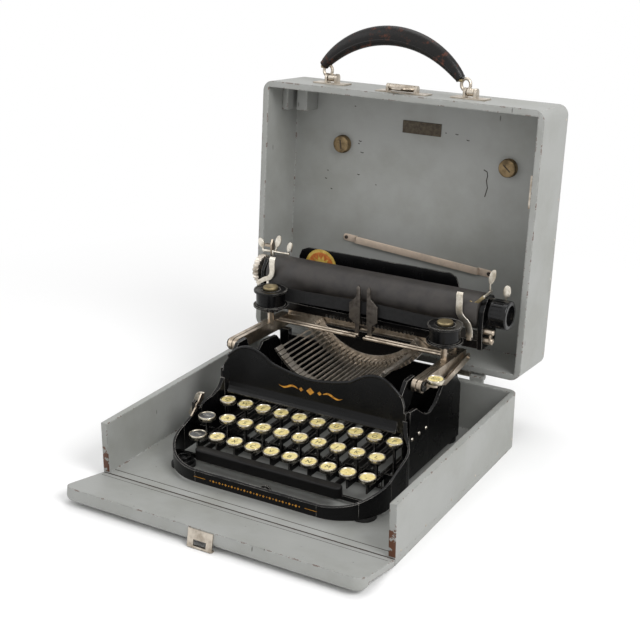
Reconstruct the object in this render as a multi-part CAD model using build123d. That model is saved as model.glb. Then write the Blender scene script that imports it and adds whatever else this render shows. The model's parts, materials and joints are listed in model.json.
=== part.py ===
from build123d import *
import math
import os

os.makedirs("parts", exist_ok=True)

# Millimetres. X to the right, Y to the back, Z up; origin under the middle of the case on the table.

# Travelling case
CASE_W = 290.0
CASE_D = 250.0
TRAY_H = 54.0
WALL = 6.0
FLOOR_T = 6.0
CORNER_R = 10.0
RIM_GAP = 0.3
LID_H = 62.0
LID_OPEN = 94.9
HINGE_Y = CASE_D / 2 + 4.0
HINGE_Z = TRAY_H + 4.65
HINGE_X = 88.0
HINGE_W = 42.0
KNUCKLE_R = 2.75
PIN_R = 1.2
FIT = 0.05

# Front flap
FLAP_L = 55.0
FLAP_T = 5.9
FLAP_OPEN = 78.5
NOSE_T = 12.4
FLAP_PIVOT = (-CASE_D / 2 - 0.5, FLOOR_T)
CATCH_X = -1.0
CATCH_W = 24.0
CATCH_LEG = 16.6

# Lid fittings
PEG_X = (-81.0, 95.0)
PEG_Y = -63.0
PEG_R = 9.0
PEG_LEN = 6.0
HANDLE_X = -11.0
HANDLE_SPAN = 146.0
HANDLE_LEAN = 9.0
HANDLE_RISE = 44.5
GRIP_HALF = 71.0
GRIP_START = 11.0
HANDLE_V = 28.0
LATCH_V = 14.0
HASP_L = 13.8

# Machine base
BAND_X = 107.0
BAND_Y = -104.0
BAND_R = 46.0
BAND_T = 2.2
BAND_Z = 9.0
PANEL_Y = -7.5
PANEL_T = 2.5
PLATE_X = 98.0
PLATE_T = 3.0
REAR_Y = 98.0
FOOT_R = 11.0

# Keyboard
KEY_PITCH = 19.05
KEY_R = 7.6
KEY_T = 3.2
SHIFT_R = 8.0
LEVER_T = 1.2
LEVER_H = 5.0
ROD_Y = 84.0
ROD_Z = 20.5
ROD_R = 1.5
ROWS = ((10, -81.5, -20.0, 50.0), (9, -69.0, -40.0, 42.0), (9, -66.5, -61.0, 33.0))
CAP_AT = (-88.2, -45.0, 42.0)
FIG_AT = (-84.6, -65.0, 33.0)
BACK_AT = (109.5, 16.5, 98.8)
SPACE_X = (-78.0, 70.0)
SPACE_Y = -77.0
SPACE_ARMS = (-75.3, 58.1)
SPACE_TOP = 27.0
SPACE_H = 10.0

# Type basket
BARS = 28
BAR_LEN = 69.0
ARC_Y = 95.0
ARC_Z = 130.0
ARC_SPAN = 108.0
BAR_T = 1.4
DEMO = 14

# Folding carriage
FOLD_Y = 13.0
FOLD_Z = 91.0
ARM_X = (90.5, 99.5)
ARM_H = 12.0
ARM_END_Y = 104.0
ARM_DROP = 3.0
SPOOL_X = 92.0
SPOOL_Y = 71.0
SPOOL_R = 16.75
SPOOL_Z = 111.5
SPOOL_H = 16.5
PLATEN_Y = 110.0
PLATEN_Z = 132.0
PLATEN_R = 17.0
PLATE_HALF = 116.0
PLATEN_GAP = 4.0
PLATEN_HALF = PLATE_HALF - PLATEN_GAP
AXLE_R = 4.0
KNOB_R = 13.5
KNOB_L = 16.2
KNOB_X = (PLATE_HALF + 6.0, PLATE_HALF + 6.0 + KNOB_L)
WHEEL_X = (-PLATE_HALF - 13.5, -PLATE_HALF - 6.5)
BEAM_Y = (98.0, 122.0)
BEAM_Z = (98.0, 107.0)
RAIL_Y = 85.75
RAIL_GAP = 4.0
RIBBON_Y = 90.0
VIB_X = 0.25 * BAR_LEN * math.sin(math.radians(-ARC_SPAN / 2 + ARC_SPAN * DEMO / (BARS - 1)))


def block(x0, x1, y0, y1, z0, z1):
    return Pos((x0 + x1) / 2, (y0 + y1) / 2, (z0 + z1) / 2) * Box(x1 - x0, y1 - y0, z1 - z0)


def rod_x(y, z, r, x0, x1):
    return Pos((x0 + x1) / 2, y, z) * Rot(0, 90, 0) * Cylinder(r, x1 - x0)


def rod_y(x, z, r, y0, y1):
    return Pos(x, (y0 + y1) / 2, z) * Rot(90, 0, 0) * Cylinder(r, y1 - y0)


def rod_z(x, y, r, z0, z1):
    return Pos(x, y, (z0 + z1) / 2) * Cylinder(r, z1 - z0)


def side_shape(points, x0, x1):
    face = Plane.YZ * make_face(Polyline(*points, close=True))
    return Pos(x0, 0, 0) * extrude(face, x1 - x0)


def front_shape(points, y0, y1):
    face = Plane.XZ * make_face(Polyline(*points, close=True))
    return Pos(0, y1, 0) * extrude(face, y1 - y0)


def plan_shape(points, z0, z1):
    return Pos(0, 0, z0) * extrude(make_face(Polyline(*points, close=True)), z1 - z0)


def turned(shape, y, z, degrees):
    return Pos(0, y, z) * Rot(degrees, 0, 0) * Pos(0, -y, -z) * shape


def save(name, *pieces):
    solids = [s for piece in pieces for s in piece.solids()]
    whole = solids[0] if len(solids) == 1 else Compound(children=solids)
    export_step(whole, f"parts/{name}.step")


# Case: everything of the lid and the flap is drawn closed and then swung open.


def rounded_plan(width, y0, y1, r, z0, z1, front_round):
    body = block(-width / 2, width / 2, y0, y1, z0, z1)
    edges = [e for e in body.edges().filter_by(Axis.Z) if front_round or e.center().Y > 0]
    return fillet(edges, r)


def hinge_leaves(tray):
    pieces = []
    back = CASE_D / 2
    third = HINGE_W / 3
    rim = TRAY_H if tray else TRAY_H + RIM_GAP
    for side in (-1, 1):
        x0 = side * HINGE_X - HINGE_W / 2
        if tray:
            leaf = block(x0, x0 + HINGE_W, back, back + 1.2, rim - 16, rim)
            spans = ((0, third - 0.2), (2 * third + 0.2, HINGE_W))
        else:
            leaf = block(x0, x0 + HINGE_W, back, back + 1.2, HINGE_Z + 3.6, HINGE_Z + 16)
            leaf += block(x0 + third + 0.2, x0 + 2 * third - 0.2, back, back + 1.2, rim, HINGE_Z + 4)
            spans = ((third + 0.2, 2 * third - 0.2),)
        for a, b in spans:
            leaf += rod_x(HINGE_Y, HINGE_Z, KNUCKLE_R, x0 + a, x0 + b)
            if tray:
                leaf += block(x0 + a, x0 + b, back, back + 2.4, rim - 2, HINGE_Z)
            else:
                leaf += block(x0 + a, x0 + b, back, back + 2.4, rim, HINGE_Z)
        if tray:
            leaf += rod_x(HINGE_Y, HINGE_Z, PIN_R, x0, x0 + HINGE_W)
        else:
            leaf -= rod_x(HINGE_Y, HINGE_Z, PIN_R + FIT, x0, x0 + HINGE_W)
        pieces.append(leaf)
    return pieces


def case_tray():
    half = CASE_W / 2
    front, back = -CASE_D / 2, CASE_D / 2
    floor = rounded_plan(CASE_W, front, back, CORNER_R, 0, FLOOR_T, False)
    ring = rounded_plan(CASE_W, front, back, CORNER_R, FLOOR_T, TRAY_H, False)
    inner = half - WALL
    left = ring & block(-half, -inner, front, back, 0, TRAY_H)
    right = ring & block(inner, half, front, back, 0, TRAY_H)
    rear = ring & block(-inner, inner, back - WALL, back, 0, TRAY_H)
    return [floor, left, right, rear, *hinge_leaves(True)]


def flap_closed():
    y, z = FLAP_PIVOT
    half = CASE_W / 2
    top = z + FLAP_L
    board = block(-half, half, y - FLAP_T, y, z, top)
    corners = [e for e in board.edges().filter_by(Axis.Y) if e.center().Z > top - 1]
    board = fillet(corners, CORNER_R)
    nose = block(-half, half, y - NOSE_T, y - 1, top - NOSE_T, top)
    corners = [e for e in nose.edges().filter_by(Axis.Y) if e.center().Z > top - 1]
    nose = fillet(corners, CORNER_R)
    nose = fillet(nose.edges().group_by(Axis.Y)[0], NOSE_T / 2 - 0.8)
    return board + nose


def case_flap():
    return [turned(flap_closed(), *FLAP_PIVOT, FLAP_OPEN)]


def catch_plate():
    y, z = FLAP_PIVOT
    top = z + FLAP_L
    x0, x1 = CATCH_X - CATCH_W / 2, CATCH_X + CATCH_W / 2
    plate = block(x0, x1, y - CATCH_LEG, y - 1.0, top, top + 1.2)
    plate += block(x0, x1, y - CATCH_LEG, y - CATCH_LEG + 1.0, top - 3.0, top)
    plate -= block(CATCH_X - 6.2, CATCH_X + 6.2, y - CATCH_LEG + 1.6, y - CATCH_LEG + 7.0, top - 1, top + 3)
    return [turned(plate, *FLAP_PIVOT, FLAP_OPEN)]


def lid_walls():
    half = CASE_W / 2
    front, back = -CASE_D / 2, CASE_D / 2
    z0, z1 = TRAY_H + RIM_GAP, TRAY_H + RIM_GAP + LID_H
    shell = rounded_plan(CASE_W, front, back, CORNER_R, z0, z1, True)
    inner = half - WALL
    top = shell & block(-half, half, front, back, z1 - WALL, z1)
    low = shell & block(-half, half, front, back, z0, z1 - WALL)
    left = low & block(-half, -inner, front, back, z0, z1)
    right = low & block(inner, half, front, back, z0, z1)
    rear = low & block(-inner, inner, back - WALL, back, z0, z1)
    face = low & block(-inner, inner, front, front + WALL, z0, z1)
    return [top, left, right, rear, face]


def lid_open(shape):
    return turned(shape, HINGE_Y, HINGE_Z, -LID_OPEN)


def lid_fittings():
    under = TRAY_H + RIM_GAP + LID_H - WALL
    pieces = []
    for x in PEG_X:
        peg = rod_z(x, PEG_Y, PEG_R, under - PEG_LEN, under)
        pieces.append(peg - block(x - PEG_R, x + PEG_R, PEG_Y - 1, PEG_Y + 1, under - PEG_LEN,
                                  under - PEG_LEN + 1.2))
    strap = block(-79, 81, 31.5, 38.5, under - 2.4, under - 1.2)
    for x in (-74, 76):
        strap += block(x - 5, x + 5, 31.5, 38.5, under - 2.4, under)
    pieces.append(Pos(1, 37, 0) * Rot(0, 0, 4.5) * Pos(-1, -35, 0) * strap)
    pieces.append(block(-21.0, 21.0, -94.0, -83.0, under - 0.8, under))
    corner = WALL - CASE_D / 2
    side = CASE_W / 2 - WALL
    for a, b, deep in ((0.1 - side, 6.5 - side, 30.0), (12 - side, 24 - side, 22.0), (side - 20, side - 3, 2.0)):
        pieces.append(block(a, b, corner, corner + 24, under - deep, under))
    return [lid_open(p) for p in pieces]


def handle_eye(side):
    face = -CASE_D / 2
    x = HANDLE_X + side * HANDLE_SPAN / 2
    z = TRAY_H + RIM_GAP + HANDLE_V
    eye = block(x - 17, x + 17, face - 1.4, face, z - 8, z + 8)
    for a, b in ((x - 6.5, x - 4.0), (x + 4.0, x + 6.5)):
        eye += block(a, b, face - 6.0, face, z - 4.0, z + 4.0) + rod_x(face - 6.0, z, 4.0, a, b)
    return eye + rod_x(face - 6.0, z, 1.5, x - 5, x + 5)


def latch_base():
    face = -CASE_D / 2
    z = TRAY_H + RIM_GAP + LATCH_V
    base = block(CATCH_X - 26, CATCH_X + 26, face - 1.2, face, z - 5, z + 10)
    for a, b in ((CATCH_X - 16, CATCH_X - 13), (CATCH_X + 13, CATCH_X + 16)):
        base += block(a, b, face - 5.0, face, z - 3.2, z + 3.2) + rod_x(face - 5.0, z, 3.2, a, b)
    return base + rod_x(face - 5.0, z, 1.2, CATCH_X - 15, CATCH_X + 15)


def lid_hardware():
    stay = block(CASE_W / 2 - WALL - 1.6, CASE_W / 2 - WALL, -52, 112, 62, 69)
    stay += block(CASE_W / 2 - WALL - 4.0, CASE_W / 2 - WALL, -66, -36, 60.5, 70.5)
    pieces = [handle_eye(-1), handle_eye(1), latch_base(), stay, *hinge_leaves(False)]
    return [lid_open(p) for p in pieces]


def latch_lever():
    y, z = -CASE_D / 2 - 5.0, TRAY_H + RIM_GAP + LATCH_V
    right = [(12.5, 0), (12.5, -3.5), (4.6, -8.6), (4.6, -HASP_L)]
    outline = [(CATCH_X + a, z + b) for a, b in right] + [(CATCH_X - a, z + b) for a, b in reversed(right)]
    hasp = front_shape(outline, y - 0.7, y + 0.7)
    hasp += rod_x(y, z, 3.2, CATCH_X - 12.7, CATCH_X + 12.7)
    return [lid_open(hasp - rod_x(y, z, 1.2 + FIT, CATCH_X - 14, CATCH_X + 14))]


def handle_grip():
    face = -CASE_D / 2
    z = TRAY_H + RIM_GAP + HANDLE_V
    path = ThreePointArc((-GRIP_HALF, GRIP_START), (0, HANDLE_RISE), (GRIP_HALF, GRIP_START))
    sections = []
    for share, thick, deep in ((0, 4.6, 4.4), (0.12, 5.6, 6.0), (0.3, 6.3, 8.4), (0.5, 6.5, 9.2),
                               (0.7, 6.3, 8.4), (0.88, 5.6, 6.0), (1, 4.6, 4.4)):
        sections.append(Plane(origin=path @ share, x_dir=(0, 0, 1), z_dir=path % share) * Ellipse(thick, deep))
    standing = Plane(origin=(HANDLE_X - HANDLE_LEAN, face - 6.0, z), x_dir=(1, 0, 0), z_dir=(0, 0, 1))
    grip = standing * Rot(180, 0, 0) * loft(sections)
    for s in (-1, 1):
        x = HANDLE_X + s * HANDLE_SPAN / 2
        a = HANDLE_X - HANDLE_LEAN + s * GRIP_HALF
        ring = rod_x(face - 6.0, z, 3.6, x - 3.6, x + 3.6)
        link = plan_shape([(x - 3.3, face - 6), (x + 3.3, face - 6), (x + 3.3, face - 11.5),
                           (a + 3.4, face - 20.5),
                           (a - 3.4, face - 18.5), (x - 3.3, face - 11.0)], z - 3, z + 3)
        grip += ring + link
        grip -= rod_x(face - 6.0, z, 1.5 + FIT, x - 4.5, x + 4.5)
    return [lid_open(grip)]


def loop_face(inset):
    x, y0, r = BAND_X - inset, BAND_Y + inset, BAND_R - inset
    yb = PANEL_Y - inset + 0.0
    xb = PLATE_X - 5.0 - inset
    s = math.sqrt(0.5)
    right = [
        Line((0, y0), (x - r, y0)),
        ThreePointArc((x - r, y0), (x - r + r * s, y0 + r - r * s), (x, y0 + r)),
        Line((x, y0 + r), (x, -30)),
        Spline((x, -30), (x - 4, -18), (xb + 4.0, yb - 3.5), (xb, yb), tangents=((0, 1), (-1, 0.15))),
        Line((xb, yb), (0, yb)),
    ]
    left = [mirror(e, Plane.YZ) for e in right]
    return make_face(Curve() + right + left)


def band_profile():
    points = [(BAND_Y - 2, BAND_Z), (BAND_Y - 2, 19), (-101, 21), (-91, 24), (-80, 28), (-59, 33),
              (-30, 42), (-18, 48), (-13, 57), (PANEL_Y - PANEL_T, 66), (PANEL_Y - PANEL_T, BAND_Z)]
    return side_shape(points, -BAND_X - 5, BAND_X + 5)


def band():
    high = 100 - BAND_Z
    ring = Pos(0, 0, BAND_Z) * extrude(loop_face(0), high)
    ring -= Pos(0, 0, BAND_Z) * extrude(loop_face(BAND_T), high)
    ring &= band_profile()
    xc, yc = BAND_X - BAND_R, BAND_Y + BAND_R
    pieces = [ring & block(-xc, xc, BAND_Y - 5, yc, 0, 60)]
    d = BAND_R * 2
    for s in (-1, 1):
        for a, b in ((0, 45), (45, 90)):
            p = [(s * xc, yc)]
            for t in (a, (a + b) / 2, b):
                k = d if t != (a + b) / 2 else d * 1.1
                p.append((s * (xc + k * math.sin(math.radians(t))), yc - k * math.cos(math.radians(t))))
            pieces.append(ring & plan_shape(p, 0, 60))
        x0, x1 = sorted((s * xc, s * (BAND_X + 3)))
        pieces.append(ring & block(x0, x1, yc, -30, 0, 60))
        x0, x1 = sorted((s * (PLATE_X - 9), s * (BAND_X + 3)))
        pieces.append(ring & block(x0, x1, -30, PANEL_Y - PANEL_T, 0, 70))
    return pieces


def side_plates():
    points = [(PANEL_Y, BAND_Z), (PANEL_Y, 74), (5, 73), (14, 66), (22, 61), (34, 58), (45, 62), (55, 71),
              (62, 77), (86, 75), (REAR_Y, 62), (REAR_Y, BAND_Z)]
    pieces = []
    for s in (-1, 1):
        x0, x1 = sorted((s * (PLATE_X - PLATE_T), s * PLATE_X))
        plate = side_shape(points, x0, x1)
        for y, z in ((-2.5, 46.3), (11, 46.8), (25, 46.3)):
            plate += rod_x(z=z, y=y, r=1.6, x0=min(s * PLATE_X, s * (PLATE_X + 0.8)),
                           x1=max(s * PLATE_X, s * (PLATE_X + 0.8)))
        cut = 30
        pieces.append(plate & block(x0 - 2, x1 + 2, -20, cut, 0, 100))
        pieces.append(plate & block(x0 - 2, x1 + 2, cut, REAR_Y + 2, 0, 100))
    return pieces


def fold_lugs():
    pieces = []
    for s in (-1, 1):
        x0, x1 = sorted((s * 85.0, s * 88.6))
        lug = side_shape([(PANEL_Y, 62), (PANEL_Y, 84), (4, 97), (FOLD_Y + 5, 97), (FOLD_Y + 8, 88), (12, 74)],
                         x0, x1)
        a, b = sorted((s * 86.0, s * (ARM_X[1] + 0.3)))
        lug += rod_x(FOLD_Y, FOLD_Z, 2.5, a, b)
        a, b = sorted((s * (ARM_X[1] + 0.3), s * (ARM_X[1] + 1.9)))
        head = rod_x(FOLD_Y, FOLD_Z, 4.6, a, b)
        head -= block(min(s * 101.0, s * 110), max(s * 101.0, s * 110), FOLD_Y - 6, FOLD_Y + 6, FOLD_Z - 0.6,
                      FOLD_Z + 0.6)
        pieces.append(lug + head)
    return pieces


def machine_frame():
    inner = PLATE_X - PLATE_T
    rear = block(-inner, inner, REAR_Y - 3, REAR_Y, BAND_Z, 75) & side_shape(
        [(REAR_Y - 3, BAND_Z), (REAR_Y - 3, 75), (REAR_Y, 66), (REAR_Y, BAND_Z)], -inner, inner)
    rear -= rod_y(0, ARC_Z, BAR_LEN + 5.5, REAR_Y - 5, REAR_Y + 2)
    rod = rod_x(ROD_Y, ROD_Z, ROD_R, -inner, inner)
    posts = [block(s * 88 - 5, s * 88 + 5, REAR_Y - 9, REAR_Y - 3, 54, 82.2) for s in (-1, 1)]
    ear = side_shape([(-43, 30), (-33, 30), (-34.5, 50), (-38, 51), (-41.5, 50)], -BAND_X, -BAND_X + BAND_T)
    ear -= band_profile()
    basket_back = rod_y(0, ARC_Z, BAR_LEN - 9, ARC_Y + 3.5, ARC_Y + 4.9) & block(-62, 62, 90, 101, 60, 92)
    return [*band(), *side_plates(), *fold_lugs(), rear, rod, *posts, ear, basket_back]


def panel_top():
    half = [(11, 84.3), (22, 86), (33, 88.5), (41, 91), (48, 95.5), (56, 99.5), (63, 101), (70, 100.6),
            (77, 97.6), (84, 92.2), (91, 84.6), (PLATE_X - 5.0, 78)]
    right = [(x, z) for x, z in reversed(half)]
    left = [(-x, z) for x, z in half]
    return right + [(0, 83.3)] + left


def front_panel():
    x = PLATE_X - 5.0
    curve = Spline(*panel_top(), tangents=((-0.35, 1), (-0.35, -1)))
    low = BAND_Z + 45
    sides = Polyline((-x, 78), (-x, low), (x, low), (x, 78))
    face = Plane.XZ * make_face(Curve() + [curve, sides])
    panel = Pos(0, PANEL_Y, 0) * extrude(face, PANEL_T)
    y = PANEL_Y - PANEL_T
    cove = side_shape([(y, low), (y, 64), (y - 0.6, 60), (y - 1.8, 57), (y - 3.6, 55), (y - 3.6, low)], -x + 6,
                      x - 6)
    bead = [block(-x, x, PANEL_Y, PANEL_Y + 4.0, low, low + 2.5)]
    stiles = [block(min(s * x, s * (PLATE_X - PLATE_T)), max(s * x, s * (PLATE_X - PLATE_T)),
                    PANEL_Y - PANEL_T, PANEL_Y + 2,
                    low, 73) for s in (-1, 1)]
    return [panel + cove + bead[0] + stiles[0] + stiles[1]]


def rubber_feet():
    feet = []
    for x, y in ((-92, -78), (92, -78), (-88, 88), (88, 88)):
        foot = rod_z(x, y, FOOT_R, FLOOR_T, BAND_Z)
        feet.append(foot)
    return feet


def foot_pads():
    pads = []
    inside = extrude(loop_face(BAND_T), 60)
    for s in (-1, 1):
        a, b = sorted((s * 92.0, s * BAND_X))
        pad = rod_z(s * 92, -78, 9.5, BAND_Z, BAND_Z + 4.0) + block(a, b, -84, -72, BAND_Z, BAND_Z + 3.0)
        pads.append(pad & inside)
        a, b = sorted((s * 78.0, s * (PLATE_X - PLATE_T)))
        pads.append(block(a, b, 79, REAR_Y - 9, BAND_Z, BAND_Z + 2.0))
    return pads


def key_comb():
    y = SPACE_Y + 9.5
    inside = extrude(loop_face(BAND_T), 60)
    comb = block(-BAND_X, BAND_X, y, y + 2.0, BAND_Z, 13.2) & inside
    rail = block(-BAND_X, BAND_X, -33.5, -31.5, BAND_Z, ROD_Z + 4) & inside
    for x, width in lever_lines():
        cut = width / 2 + 0.5
        rail -= block(x - cut, x + cut, -35, -30, BAND_Z + 1.5, ROD_Z + 8)
    for x in (*SPACE_ARMS, FIG_AT[0]):
        comb -= block(x - 1.4, x + 1.4, y - 1, y + 3, BAND_Z + 1.0, ROD_Z)
    return [comb, rail]


def lever_lines():
    lines = [(x0 + i * KEY_PITCH, LEVER_T) for count, x0, _, _ in ROWS[1:] for i in range(count)]
    return lines + [(CAP_AT[0], LEVER_T), (FIG_AT[0], LEVER_T)] + [(x, 1.6) for x in SPACE_ARMS]


def lever_shape(x, y, top, r, lever_top):
    half = LEVER_T / 2
    z0 = lever_top - LEVER_H
    lever = block(x - half, x + half, y - 2, ROD_Y, z0, lever_top)
    lever += rod_x(ROD_Y, ROD_Z, 3.2, x - half, x + half)
    lever -= rod_x(ROD_Y, ROD_Z, ROD_R + FIT, x - half - 1, x + half + 1)
    lever += block(x - half, x + half, y - 2, y + 2, z0, top - KEY_T + 0.1)
    return lever + rod_z(x, y, r, top - KEY_T, top)


def key_nodes():
    made = {}
    for row, (count, x0, y, top) in enumerate(ROWS):
        for i in range(count):
            made[f"key_{row + 1}_{i + 1}"] = [lever_shape(x0 + i * KEY_PITCH, y, top, KEY_R, ROD_Z + 2.5)]
    return made


def space_bar():
    x0, x1 = SPACE_X
    z0 = SPACE_TOP - SPACE_H
    bar = block(x0, x1, SPACE_Y - 5, SPACE_Y + 5, z0, SPACE_TOP)
    bar = fillet(bar.edges().filter_by(Axis.Z), 4.8)
    bar = fillet(bar.edges().group_by(Axis.Z)[-1], 1.5)
    for x in SPACE_ARMS:
        bar += block(x - 0.8, x + 0.8, SPACE_Y, ROD_Y, ROD_Z - 2.5, ROD_Z + 2.5)
        bar += rod_x(ROD_Y, ROD_Z, 3.2, x - 0.8, x + 0.8)
        bar -= rod_x(ROD_Y, ROD_Z, ROD_R + FIT, x - 2, x + 2)
    return [bar]


def back_space_key():
    x = 101.6
    kx, ky, top = BACK_AT
    lever = side_shape([(ky - 3, top - 8), (ky - 3, top - 5), (24, top - 5.4), (52, 84), (98, 91.5), (104, 91),
                        (104, 85),
                        (52, 78.5), (22, top - 9)], x, x + 2.0)
    lever += block(x, kx, ky - 2.5, ky + 2.5, top - 7.5, top - 5.5)
    lever += rod_z(kx, ky, 2.0, top - 7.5, top - KEY_T + 0.1) + rod_z(kx, ky, KEY_R, top - KEY_T, top)
    lever += rod_x(100, 88, 3.4, x, x + 2.0)
    return [lever - rod_x(100, 88, 1.5 + FIT, x - 1, x + 3)]


def margin_lever():
    x0, x1 = -104.2, -102.8
    lever = side_shape([(-49, 39.5), (-46.5, 38), (-38, 43.5), (-29, 49.5), (-28, 54.5), (-32, 55.5),
                        (-38, 48.5)], x0, x1)
    lever += rod_x(-38, 46, 3.2, x0, x1)
    return [lever - rod_x(-38, 46, 1.5 + FIT, x0 - 2, x1 + 2)]


def small_pins():
    back = rod_x(100, 88, 1.5, ARM_X[1] + 0.2, 105)
    margin = rod_x(-38, 46, 1.5, -BAND_X + BAND_T, -99)
    return back, margin


# Type basket


def bar_angle(i):
    return math.radians(-ARC_SPAN / 2 + ARC_SPAN * i / (BARS - 1))


def at_bar(i, shape):
    deg = math.degrees(bar_angle(i))
    return Pos(0, 0, ARC_Z) * Rot(0, -deg, 0) * Pos(0, 0, -BAR_LEN) * shape


def bar_shape():
    half = BAR_T / 2
    bar = side_shape([(ARC_Y + 1.8, -2.2), (ARC_Y + 1.8, 2.2), (ARC_Y - 50, 1.4), (ARC_Y - BAR_LEN + 6, 1.2),
                      (ARC_Y - BAR_LEN + 6, -1.2), (ARC_Y - 50, -1.4)], -half, half)
    bar += block(-2.0, 2.0, ARC_Y - BAR_LEN - 3.5, ARC_Y - BAR_LEN + 6.5, -1.2, 1.6)
    return bar


def typebars():
    return [at_bar(i, bar_shape()) for i in range(BARS) if i != DEMO]


def typebar_demo():
    return [at_bar(DEMO, bar_shape() - rod_x(ARC_Y, 0, 0.8 + FIT, -2, 2))]


def arc_sector(r0, r1, y0, y1, degrees):
    outer = rod_y(0, ARC_Z, r1, y0, y1) - rod_y(0, ARC_Z, r0, y0 - 1, y1 + 1)
    a = math.radians(degrees)
    k = 3 * r1
    points = [(0, ARC_Z), (-k * math.sin(a), ARC_Z - k * math.cos(a)), (0, ARC_Z - 2 * k),
              (k * math.sin(a), ARC_Z - k * math.cos(a))]
    return outer & front_shape(points, y0 - 2, y1 + 2)


def type_segment():
    ring = arc_sector(BAR_LEN - 5, BAR_LEN + 5.5, ARC_Y - 5, ARC_Y + 5, 57.5)
    half = BAR_T / 2 + 0.15
    for i in range(BARS):
        depth = -3.4 if i == DEMO else -2.2
        slot = block(-half, half, ARC_Y - 9, ARC_Y + 3, depth, 8)
        slot += block(-half, half, ARC_Y - 9, ARC_Y - 3.6, -8, 8)
        ring -= at_bar(i, slot)
    ring += at_bar(DEMO, rod_x(ARC_Y, 0, 0.8, -half - 0.4, half + 0.4))
    back = arc_sector(BAR_LEN - 9, BAR_LEN + 5.5, ARC_Y + 3.0, ARC_Y + 5, 57.5)
    return [ring + back]


# Folding carriage


def arm_z(y):
    return FOLD_Z - ARM_DROP * (y - FOLD_Y) / (ARM_END_Y - FOLD_Y)


def fold_arms():
    pieces = []
    h = ARM_H / 2
    for s in (-1, 1):
        x0, x1 = sorted((s * ARM_X[0], s * ARM_X[1]))
        end = ARM_END_Y
        arm = side_shape([(FOLD_Y, FOLD_Z - h), (FOLD_Y, FOLD_Z + h), (end, arm_z(end) + h),
                          (end, arm_z(end) - h)], x0, x1)
        arm += rod_x(FOLD_Y, FOLD_Z, h, x0, x1)
        a, b = sorted((s * (ARM_X[0] + 4.0), s * (ARM_X[0] + 5.0)))
        groove = side_shape([(FOLD_Y - h - 1, FOLD_Z + h - 2), (FOLD_Y - h - 1, FOLD_Z + h + 2), (60, 98),
                             (60, arm_z(60) + h - 2)], a, b)
        groove += side_shape([(FOLD_Y - h - 1, FOLD_Z - h), (FOLD_Y - h - 1, FOLD_Z + h),
                              (FOLD_Y - h + 1.4, FOLD_Z + h),
                              (FOLD_Y - h + 1.4, FOLD_Z - h)], a, b)
        arm -= groove
        arm -= rod_x(FOLD_Y, FOLD_Z, 2.5 + FIT, x0 - 1, x1 + 1)
        arm += rod_z(s * SPOOL_X, SPOOL_Y, 3.0, arm_z(SPOOL_Y) + h - 2, SPOOL_Z - 4.6)
        arm += rod_z(s * SPOOL_X, SPOOL_Y, 1.8, SPOOL_Z - 5, SPOOL_Z + SPOOL_H + 1.0)
        pieces.append(arm)
    span = ARM_X[0]
    rail_z = arm_z(84) + 5.0
    rails = []
    for y in (RAIL_Y - 5.2, RAIL_Y):
        rails.append(rod_x(y, rail_z, 1.4, -span, VIB_X - RAIL_GAP))
        rails.append(rod_x(y, rail_z, 1.4, VIB_X + RAIL_GAP, span))
    for s in (-1, 1):
        a, b = sorted((VIB_X + s * (RAIL_GAP + 4), VIB_X + s * (RAIL_GAP + 8)))
        rails.append(block(a, b, RAIL_Y - 5.2, RAIL_Y, rail_z - 0.8, rail_z + 0.8))
    left = rails[0] + rails[2] + rails[4]
    right = rails[1] + rails[3] + rails[5]
    tie = block(-span, span, 100.8, ARM_END_Y, arm_z(100) - 2, arm_z(100) + 5.5)
    guide = block(-span, span, 101.2, 102.8, arm_z(100) - 2, BEAM_Z[0] + 1.0 - 0.03)
    back, margin = small_pins()
    return [*pieces, left, right, tie + guide, back]


def carriage_frame():
    beam = block(-PLATE_HALF, PLATE_HALF, BEAM_Y[0], BEAM_Y[1], BEAM_Z[0] + 1.0, BEAM_Z[1])
    beam -= block(-PLATE_HALF - 1, PLATE_HALF + 1, BEAM_Y[0] + 5, BEAM_Y[1] - 3, BEAM_Z[0] - 1, BEAM_Z[1] - 2.2)
    for i in range(24):
        x = -46 + i * 4.0
        beam -= block(x, x + 1.8, BEAM_Y[0] - 1, BEAM_Y[0] + 1.6, BEAM_Z[0] - 1, BEAM_Z[0] + 4)
    pieces = [beam]
    for x0, x1 in ((-PLATE_HALF - 2.5, -PLATE_HALF + 1.0), (PLATE_HALF - 2.8, PLATE_HALF + 2.0)):
        plate = side_shape([(96, BEAM_Z[0] + 1), (126, BEAM_Z[0] + 1), (128, 118), (126, PLATEN_Z + 4),
                            (118, PLATEN_Z + 14), (104, PLATEN_Z + 14), (96, PLATEN_Z + 4), (94.5, 118)], x0,
                            x1)
        plate -= rod_x(PLATEN_Y, PLATEN_Z, AXLE_R + FIT, x0 - 1, x1 + 1)
        pieces.append(plate)
    pieces[0] -= block(-PLATE_HALF - 3, -PLATE_HALF + 1.0, 90, 130, 90, 120)
    pieces[0] -= block(PLATE_HALF - 2.8, PLATE_HALF + 3, 90, 130, 90, 120)
    return pieces


def paper_table():
    half_l, half_r = -PLATE_HALF + 21.0, PLATE_HALF - 38.0
    z0, z1 = BEAM_Z[1], 155.0
    sheet = side_shape([(127.1, z0 - 1), (128.4, z0 - 1), (130.0, 130), (131.4, z1), (130.1, z1),
                        (128.7, 130)], half_l, half_r)
    window = front_shape([(half_l, z0 - 2), (half_l, z1 - 10), (half_l + 3, z1 - 3), (half_l + 10, z1),
                          (half_r - 10, z1),
                          (half_r - 3, z1 - 3), (half_r, z1 - 10), (half_r, z0 - 2)], 120, 140)
    return [(sheet & window) + block(half_l + 10, half_r - 10, BEAM_Y[1], 128.4, z0 - 4, z0 - 1)]


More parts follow.
